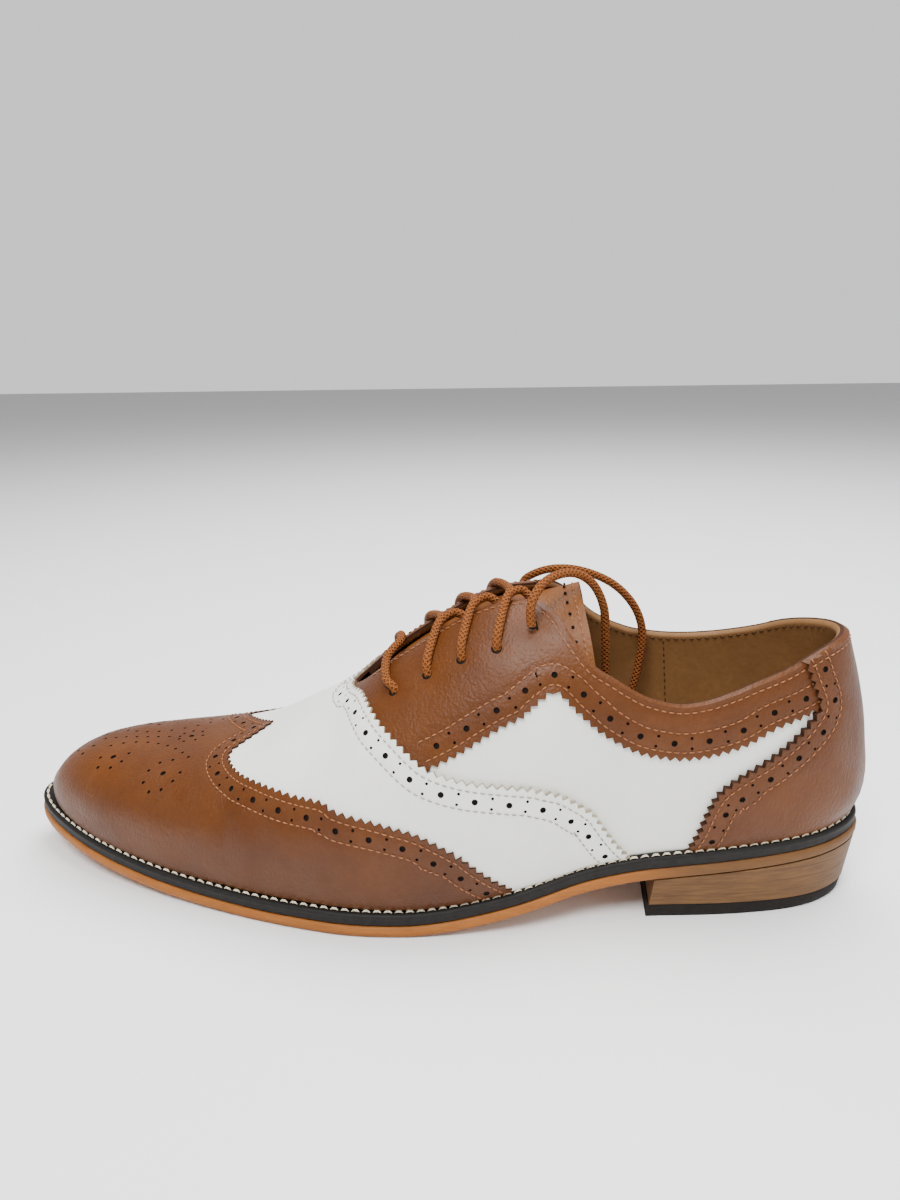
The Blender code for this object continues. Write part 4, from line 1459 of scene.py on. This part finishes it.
@dataclass
class Uppers:
    """The wall of the upper with its lining, and the five panels over it."""

    covered_from: float = 0.7
    covered_lead: float = 0.004
    collar_seam: float = 0.0028
    vamp_front: float = 0.020
    eyelet_radius: float = 0.0018
    top_eyelet_shift: float = 0.0056
    brown: bpy.types.Material = field(default_factory=BROWN.build)
    white: bpy.types.Material = field(default_factory=WHITE.build)
    lining: bpy.types.Material = field(default_factory=LINING.build)
    edge_brown: bpy.types.Material = field(default_factory=EDGE_BROWN.build)
    edge_white: bpy.types.Material = field(default_factory=EDGE_WHITE.build)
    # Painted shade for the holes.
    hole: bpy.types.Material = field(default_factory=HOLE_SHADE.build)
    tan: Stitching = field(default_factory=lambda: Stitching("stitches_tan", 0.0024, 0.0017, 0.00050))
    grey: Stitching = field(default_factory=lambda: Stitching("stitches_grey", 0.0024, 0.0017, 0.00045))

    def build(self) -> None:
        """Makes every piece of the upper."""
        self.build_wall()
        self.build_wing()
        self.build_vamp()
        for side in Side:
            self.build_facing(side)
        self.build_counter()
        self.build_lining_seams()
        self.tan.build("cognac_leather", THREAD_TAN.build())
        self.grey.build("white_leather", THREAD_GREY.build())

    def build_lining_seams(self) -> None:
        """The seams seen inside the shoe: one below the topline and one down each side."""
        thread = Stitching("stitches_lining", 0.0028, 0.0018, 0.0005)
        for side in Side:
            top = np.array([(a, side.value * 0.045) for a in end_angle(np.linspace(0.66, 0.995, 120))])
            down = np.array([spot_at(0.2420 + 0.004 * w, side.value * w) for w in np.linspace(0.05, 0.75, 60)])
            for seam in (top, down):
                thread.run(seam, -WALL - 0.0001, inside_out=True)
        thread.build("sole_leather", THREAD_DARK.build())

    def build_wall(self) -> None:
        """The white quarters outside, the lining inside, and a rolled top edge between them."""
        angles = (np.linspace(0, 0.452, 60), np.linspace(0.455, 0.505, 12), np.linspace(0.51, 1, 110))
        angles = np.concatenate(angles)
        heights = np.concatenate((np.linspace(HEM, 0.955, 36), (0.966, 0.976, 0.984, 0.990, 0.995, 1.0)))
        mesh = bmesh.new()
        for side in Side:
            outside, lining = [], []
            for angle in angles:
                spots = np.array([(angle, side.value * (1 - h)) for h in heights])
                spots[-1, 1] = side.value * 1e-6
                outside.append([mesh.verts.new(p) for p in LAST.lifted(spots, np.zeros(len(spots)))])
                lining.append([mesh.verts.new(p) for p in LAST.lifted(spots, -WALL * LAST.skived(spots))])
            flip = side is Side.INNER
            for i, angle in enumerate(angles[:-1]):
                x = along_last(end_share(angle))
                out, out_next, in_, in_next = outside[i], outside[i + 1], lining[i], lining[i + 1]
                for j in range(len(heights) - 1):
                    covered = heights[j] > self.covered_from and x > THROAT_START - self.covered_lead
                    corners = (out[j], out_next[j], out_next[j + 1], out[j + 1])
                    add_face(mesh, corners, 3 if covered else 0, flip)
                    add_face(mesh, (in_[j], in_[j + 1], in_next[j + 1], in_next[j]), 1, flip)
                add_face(mesh, (in_[0], in_next[0], out_next[0], out[0]), 1, flip)
                if x > THROAT_START:
                    add_face(mesh, (out[-1], out_next[-1], in_next[-1], in_[-1]), 2, flip)
        bmesh.ops.remove_doubles(mesh, verts=mesh.verts, dist=2e-5)
        wall = new_piece("quarters_and_lining", mesh)
        finished(wall, ("upper",), [self.white, self.lining, self.edge_brown, self.brown])

    def girth_line(self, column: str, side: Side, count: int = 120) -> np.ndarray:
        """A panel edge that runs up the girth.

        Args:
            column: Its column in GIRTH_EDGES.
            side: The side of the shoe.
            count: How many spots it has.

        Returns:
            Spots from the hem to the ridge.
        """
        heights = np.linspace(HEM, 1, count)
        shares = table(GIRTH_EDGES, "height", column, heights)
        return np.stack((end_angle(shares), side.value * (1 - heights)), axis=1)

    def across(self, outer: np.ndarray, inner: np.ndarray) -> np.ndarray:
        """One line from the outer feather edge over the ridge to the inner feather edge."""
        return np.concatenate((outer, inner[::-1][1:]))

    def straight(self, start: np.ndarray, end: np.ndarray, step: float = 0.003) -> np.ndarray:
        """Spots on a straight chart line, without its ends."""
        count = max(int(np.linalg.norm((np.array(end) - start) * CHART) / step), 1)
        return np.array([start + (np.array(end) - start) * t for t in np.linspace(0, 1, count + 2)[1:-1]])

    def closed_up(self, cut: np.ndarray, *others: np.ndarray) -> np.ndarray:
        """An outline of a cut edge and other lines, joined by straight lines at the cut's two ends."""
        ends = (self.straight(cut[-1], others[0][0]), self.straight(others[-1][-1], cut[0]))
        return np.concatenate((cut, ends[0], *others, ends[1]))

    def dressed(
        self, panel: Panel, node: str, bands: list, thread: Stitching, white: bool = False
    ) -> None:
        """Builds a panel with its bands and sews its seams.

        Args:
            panel: The panel.
            node: The solid whose place it takes.
            bands: Its decorative bands.
            thread: The thread for its seams.
            white: Whether it is of white leather.
        """
        for band in bands:
            panel.holes += band.holes
            panel.seams += band.seams
        leather, edge = (self.white, self.edge_white) if white else (self.brown, self.edge_brown)
        finished(panel.build(), (node,), [leather, edge, self.hole])
        for seam in panel.seams:
            thread.run(seam, panel.base + panel.thickness - 0.5 * panel.groove)

    def build_wing(self) -> None:
        """The winged toe cap with its medallion."""
        edge = self.across(*(self.girth_line(f"wing_{side.column}", side) for side in Side))
        band = Band(edge, left=True).build()
        half = np.linspace(1 - HEM, 0, 16)
        toe = np.array([(0, w) for w in np.concatenate((half, -half[::-1][1:]))])
        outline = self.closed_up(gimped(edge, left=True), toe)
        panel = Panel("wing_cap_leather", outline, 0.0004, 0.0023, holes=self.medallion())
        self.dressed(panel, "wing_cap", [band], self.tan)

    def medallion(self) -> list:
        """The punched pattern on the toe: a row on the axis, a diamond, two arcs and four roses.

        Returns:
            A spot, a radius and a number of corners for each hole.
        """
        large, small = 0.00100, 0.00060
        found = [(0.0635, 0.0, large), (0.0681, 0.0, small)]
        found += [(0.0280 + 0.0044 * i, 0.0, small) for i in range(8)]
        roses = (
            (0.0392, 0.0137, 0.0054, (-18, 30, 71, 134, 185)),
            (0.0634, 0.0236, 0.0066, (3, 35, 70, 110, 155, 196, 235, 275)),
        )
        pairs = [(0.0665, 0.0035), (0.0623, 0.0044), (0.0595, 0.0023)]
        pairs += [(0.0258, 0.0048), (0.0235, 0.0084), (0.0188, 0.0042)]
        x, waist, bow = 0.0340, 0.0445, 18.5
        while x < 0.0700:
            pairs.append((x, 0.0044 + bow * (x - waist) ** 2))
            x += 0.0048 / math.hypot(1, 2 * bow * (x - waist))
        for side in Side:
            found += [(x, side.value * y, small) for x, y in pairs]
            for x, y, radius, turns in roses:
                found.append((x, side.value * y, large))
                for a in map(math.radians, turns):
                    found.append((x + radius * math.cos(a), side.value * (y + radius * math.sin(a)), small))
        corners = {large: LARGE_CORNERS, small: SMALL_CORNERS}
        return [(self.spot_over(x, y), radius, corners[radius]) for x, y, radius in found]

    def spot_over(self, x: float, y: float) -> np.ndarray:
        """The spot over a point of the plan.

        Args:
            x: How far from the sole's toe.
            y: How far to the side of the ridge.

        Returns:
            The nearest of 400 spots.
        """
        ws = math.copysign(1, y) * np.linspace(0, 0.95, 400)
        angle = spot_at(x, 0)[0]
        points = LAST.points(np.stack((np.full(400, angle), ws), axis=1))
        return np.array((angle, ws[np.argmin(np.abs(points[:, 1] - LAST.over(x, 0)[1] - y))]))

    def build_vamp(self) -> None:
        """The white vamp, whose gimped edge lies over the facings and quarters."""
        edge = self.across(*(self.girth_line("vamp", side) for side in Side))
        band = Band(edge, left=True).build()
        fronts = []
        for side in Side:
            line = self.girth_line(f"wing_{side.column}", side, 60)
            line[:, 0] = end_angle(end_share(line[:, 0]) - self.vamp_front)
            fronts.append(line)
        outline = self.closed_up(gimped(edge, left=True), self.across(*fronts)[::-1])
        panel = Panel("vamp_leather", outline, 0.0002, 0.0017)
        self.dressed(panel, "vamp", [band], self.grey, white=True)

    def build_facing(self, side: Side) -> None:
        """One facing with its collar strip: punched, sewn and gimped along its lower edge.

        Args:
            side: The side of the shoe.
        """
        name = "facing_lateral" if side is Side.OUTER else "facing_medial"
        sign = side.value
        left = side is Side.OUTER
        shares = last_share(np.linspace(0.163, 0.2895, 250))
        heights = table(FACING_EDGE, "along", "height", shares)
        lower = np.stack((end_angle(shares), sign * (1 - heights)), axis=1)
        band = Band(lower, left=left, far=0.0094).build()
        front = 0.1421 - 0.0166 * np.linspace(0, 1, 18) ** 1.6
        top_x = np.concatenate((np.linspace(0.2935, 0.196, 90), np.linspace(0.1955, 0.1425, 30), front))
        top = np.array([spot_at(x, sign * 1e-5) for x in top_x])
        under = np.array([spot_at(x, sign * w) for x, w in ((0.1242, 0.05), (0.1290, 0.16), (0.1385, 0.36))])
        outline = self.closed_up(gimped(lower, left=left), top, under)
        rim = np.concatenate((np.linspace(0.139, 0.195, 60), np.linspace(0.1975, 0.2825, 90)))
        rim = np.array([spot_at(x, sign * 1e-5) for x in rim])
        holes = []
        for i in range(5):
            x = EYELET_FIRST + i * EYELET_PITCH + (0 if side is Side.OUTER else EYELET_SLIDE)
            shift = self.top_eyelet_shift if i == 4 and side is Side.OUTER else 0
            reach = EYELET_SIDES[side is Side.INNER] - shift
            holes.append((self.spot_over(x, sign * reach), self.eyelet_radius, 16))
        seams = [beside(rim, self.collar_seam, not left)]
        panel = Panel(name + "_leather", outline, 0.0, 0.0011, holes=holes, seams=seams)
        self.dressed(panel, name, [band], self.tan)

    def build_counter(self) -> None:
        """The heel counter, in one piece round the back seam."""
        heights = np.linspace(HEM, 1 - 1e-5, 140)
        draft = end_angle(table(COUNTER_EDGE, "height", "along", heights))
        along = np.array(COUNTER_EDGE["along"])
        rows = np.stack((end_angle(along), np.array(COUNTER_EDGE["height"]) - 1), axis=1)
        risen = {"rise": LAST.points(rows)[:, 2], "along": COUNTER_EDGE["along"]}
        level = LAST.points(np.stack((draft, heights - 1), axis=1))[:, 2]
        line = end_angle(table(risen, "rise", "along", level))
        outer = np.stack((line, heights - 1), axis=1)
        inner = np.stack((2 - line, heights - 1), axis=1)[::-1]
        bands = [Band(edge, left=False, far=0.0088).build() for edge in (outer, inner)]
        top = np.array([(a, -1e-5) for a in np.linspace(line[-1], 2 - line[-1], 60)[1:-1]])
        bottom = np.array([(a, HEM - 1) for a in np.linspace(2 - line[0], line[0], 80)[1:-1]])
        cuts = [gimped(edge, left=False) for edge in (outer, inner)]
        outline = np.concatenate((cuts[0], top, cuts[1], bottom))
        seams = [beside(top, self.collar_seam, False)]
        panel = Panel("heel_counter_leather", outline, 0.0, 0.0021, seams=seams)
        self.dressed(panel, "heel_counter", bands, self.tan)


@dataclass
class Tongue:
    """The tongue under the facings, sewn along its free edge, with dark marks of painted shade for its punched
    holes.
    """

    start: float = 0.120
    tip: float = 0.2085
    curve: float = 0.0070
    half: float = 0.0250
    flare: float = 0.0060
    thickness: float = 0.0018
    depth: float = WALL + 0.0008

    def decorate(self, offset: float, row: Stitching, slot: str, finish: Finish) -> None:
        """Adds a row of stitches along the tip, or a row of dark marks that are painted shade for punched
        holes.

        Args:
            offset: How far it lies from the tongue's edge.
            row: The stitches, which can be short and wide enough to stand as painted shade for holes.
            slot: The material slot that they stand for; it is not used.
            finish: Their finish.
        """
        material = finish.build()
        line = []
        for u in np.linspace(-0.93, 0.93, 300):
            x = self.tip + self.curve * u * u - offset
            point, normal = LAST.closed(x, u * (self.half + self.flare))
            line.append((point - normal * (self.depth - 0.0001), normal))
        points, normals = (np.array(part) for part in zip(*line))
        row.sew(points, normals)
        row.build(slot, material)

    def build(self, leather: bpy.types.Material, edge: bpy.types.Material) -> None:
        """Makes the tongue.

        Args:
            leather: The material of its faces.
            edge: The material of its cut edge.
        """
        stitches = Stitching("stitches_tongue", 0.0024, 0.0017, 0.0005)
        self.decorate(0.0022, stitches, "cognac_leather", THREAD_TAN)
        # Painted shade: short, wide, near-black stitches stand for the shade inside punched holes.
        punch_shades = Stitching("painted_punch_shade_tongue", 0.0050, 0.0011, 0.0011)
        self.decorate(0.0048, punch_shades, "cognac_leather", HOLE_SHADE)
        mesh = bmesh.new()
        outside, under = [], []
        for t in np.linspace(0, 1, 60):
            found = []
            for u in np.linspace(-1, 1, 41):
                tip = self.tip + self.curve * u * u
                x = self.start + (tip - self.start) * t
                point, normal = LAST.closed(x, u * (self.half + self.flare * t**4))
                depths = (self.depth, self.depth + self.thickness)
                found.append([mesh.verts.new(point - normal * depth) for depth in depths])
            outside.append([pair[0] for pair in found])
            under.append([pair[1] for pair in found])
        rows, last = range(len(outside) - 1), len(outside[0]) - 1
        for i in rows:
            for j in range(last):
                corners = (outside[i][j], outside[i + 1][j], outside[i + 1][j + 1], outside[i][j + 1])
                add_face(mesh, corners)
                add_face(mesh, (under[i][j], under[i][j + 1], under[i + 1][j + 1], under[i + 1][j]))
        for i in rows:
            add_face(mesh, (outside[i][0], under[i][0], under[i + 1][0], outside[i + 1][0]), 1)
            add_face(mesh, (outside[i][-1], outside[i + 1][-1], under[i + 1][-1], under[i][-1]), 1)
        for j in range(last):
            add_face(mesh, (outside[-1][j], under[-1][j], under[-1][j + 1], outside[-1][j + 1]), 1)
            add_face(mesh, (outside[0][j], outside[0][j + 1], under[0][j + 1], under[0][j]), 1)
        finished(new_piece("tongue_leather", mesh), ("tongue",), [leather, edge])


@dataclass
class Sole:
    """The welt with its stitches, the outsole, the stacked heel, its top piece and the insole."""

    stations: int = 160
    welt_round: float = 0.0013
    welt_width: float = 0.0140
    stitch_inset: float = 0.0019
    stitch_lift: float = 0.0002

    def ring(self, xs: np.ndarray, inset: float, surface: Surface, *lifts: float) -> tuple:
        """The two halves of an outline.

        Args:
            xs: Places along the sole, from its toe.
            inset: How far the outline is set in from the sole's edge.
            surface: The surface that it lies on.
            *lifts: How far above that, in parts.

        Returns:
            The points of the outer and of the inner half.
        """
        at = xs + inset * (1 - 2 * xs / SOLE_LENGTH)
        height = surface(at)
        for lift in lifts:
            height = height + lift
        halves = []
        for side in Side:
            share = np.maximum(table(OUTLINE, "angle", side.column, end_angle(xs / SOLE_LENGTH)), 0)
            y = side.value * share * (HALF_BALL - inset)
            halves.append(np.stack((at - SOLE_LENGTH / 2, y, height), axis=1))
        return tuple(halves)

    def layered(self, name: str, xs: np.ndarray, rings: list, hoop: bool) -> bpy.types.Object:
        """A solid through stacked outlines.

        Args:
            name: The object's name.
            xs: Places along the sole, from its toe.
            rings: An inset, a surface and lifts for each outline.
            hoop: Whether the last outline joins the first, where otherwise both are capped.

        Returns:
            The object.
        """
        mesh = bmesh.new()
        layers = [[[mesh.verts.new(p) for p in half] for half in self.ring(xs, *row)] for row in rings]
        steps = range(len(xs) - 1)
        for below, above in zip(layers, layers[1:] + (layers[:1] if hoop else [])):
            for k in (0, 1):
                for i in steps:
                    mesh.faces.new([below[k][i], below[k][i + 1], above[k][i + 1], above[k][i]])
            for i in (0, len(xs) - 1):
                mesh.faces.new([below[0][i], below[1][i], above[1][i], above[0][i]])
        for outer, inner in () if hoop else (layers[0], layers[-1]):
            for i in steps:
                mesh.faces.new([outer[i], outer[i + 1], inner[i + 1], inner[i]])
        bmesh.ops.remove_doubles(mesh, verts=mesh.verts, dist=1e-6)
        bmesh.ops.dissolve_degenerate(mesh, edges=mesh.edges, dist=1e-7)
        return new_piece(name, mesh, sharp=50)

    def build(self, lining: bpy.types.Material) -> None:
        """Makes the pieces of the sole.

        Args:
            lining: The insole's material.
        """
        xs = SOLE_LENGTH * end_share(np.linspace(0, 1, self.stations))
        heel = np.concatenate(((HEEL_BREAST,), xs[xs > HEEL_BREAST + 0.0005]))
        welt = [
            (WELT_INSET + 0.0005, tread_height, OUTSOLE, GAP),
            (WELT_INSET, tread_height, OUTSOLE, GAP, 0.0005),
            (WELT_INSET + 0.0004, tread_height, OUTSOLE, GAP, 0.0018),
        ]
        for a in np.linspace(0, math.pi / 2, 5):
            inset = WELT_INSET + self.welt_round * (1 - math.cos(a))
            welt.append((inset, welt_top, -self.welt_round * (1 - math.sin(a))))
        welt += [(WELT_INSET + self.welt_width, welt_top), (WELT_INSET + self.welt_width, welt_top, -WELT)]
        outsole = [
            (0.0008, tread_height),
            (0.0002, tread_height, 0.0004),
            (0, tread_height, 0.0010),
            (0, tread_height, OUTSOLE, -0.0010),
            (0.0004, tread_height, OUTSOLE, -0.0003),
            (0.0012, tread_height, OUTSOLE),
        ]
        stack = [(0.0024, ground, TOP_PIECE, GAP), (0.0003, tread_height, -GAP)]
        top_piece = [
            (0.0040, ground),
            (0.0034, ground, 0.0006),
            (0.0027, ground, TOP_PIECE, -0.0005),
            (0.0031, ground, TOP_PIECE),
        ]
        insole = [(0.0091, welt_top, GAP), (0.0091, welt_top, GAP, 0.0022), (0.0099, welt_top, GAP, 0.0030)]
        pieces = (
            ("welt_strip", xs, welt, "black_welt", "welt", BLACK),
            ("outsole_leather_edge", xs, outsole, "sole_leather", "outsole", SOLE_EDGE),
            ("heel_layers_stack", heel, stack, "stacked_leather", "heel_stack", HEEL_SIDE),
            ("heel_top_piece_rubber", heel, top_piece, "heel_rubber", "heel_top_piece", RUBBER),
            ("insole_sock", xs, insole, "sole_leather", "insole", None),
        )
        for name, at, rings, slot, node, finish in pieces:
            solid = self.layered(name, at, rings, hoop=node == "welt")
            finished(solid, (node,), [finish.build() if finish else lining])
        self.stitch()

    def stitch(self) -> None:
        """The cream stitches on top of the welt."""
        thread = Stitching("welt_stitches", 0.0036, 0.0027, 0.0010)
        fine = SOLE_LENGTH * end_share(np.linspace(0, 1, 800))
        for half in self.ring(fine, WELT_INSET + self.stitch_inset, welt_top):
            thread.sew(half, np.tile((0, 0, 1.0), (len(half), 1)), self.stitch_lift)
        thread.build("black_welt", THREAD_CREAM.build())


def main() -> None:
    """Builds the scene: camera and laces first, then the shoe."""
    logging.basicConfig(level=logging.INFO, format="%(message)s")
    Camera().build()
    laces = Laces()
    cord = LACE.build()
    laces.build_ends(cord)
    Studio().build()
    laces.build_bars(cord)
    uppers = Uppers()
    uppers.build()
    Tongue().build(TONGUE.build(), uppers.edge_brown)
    Sole().build(uppers.lining)


if __name__ == "__main__":
    main()
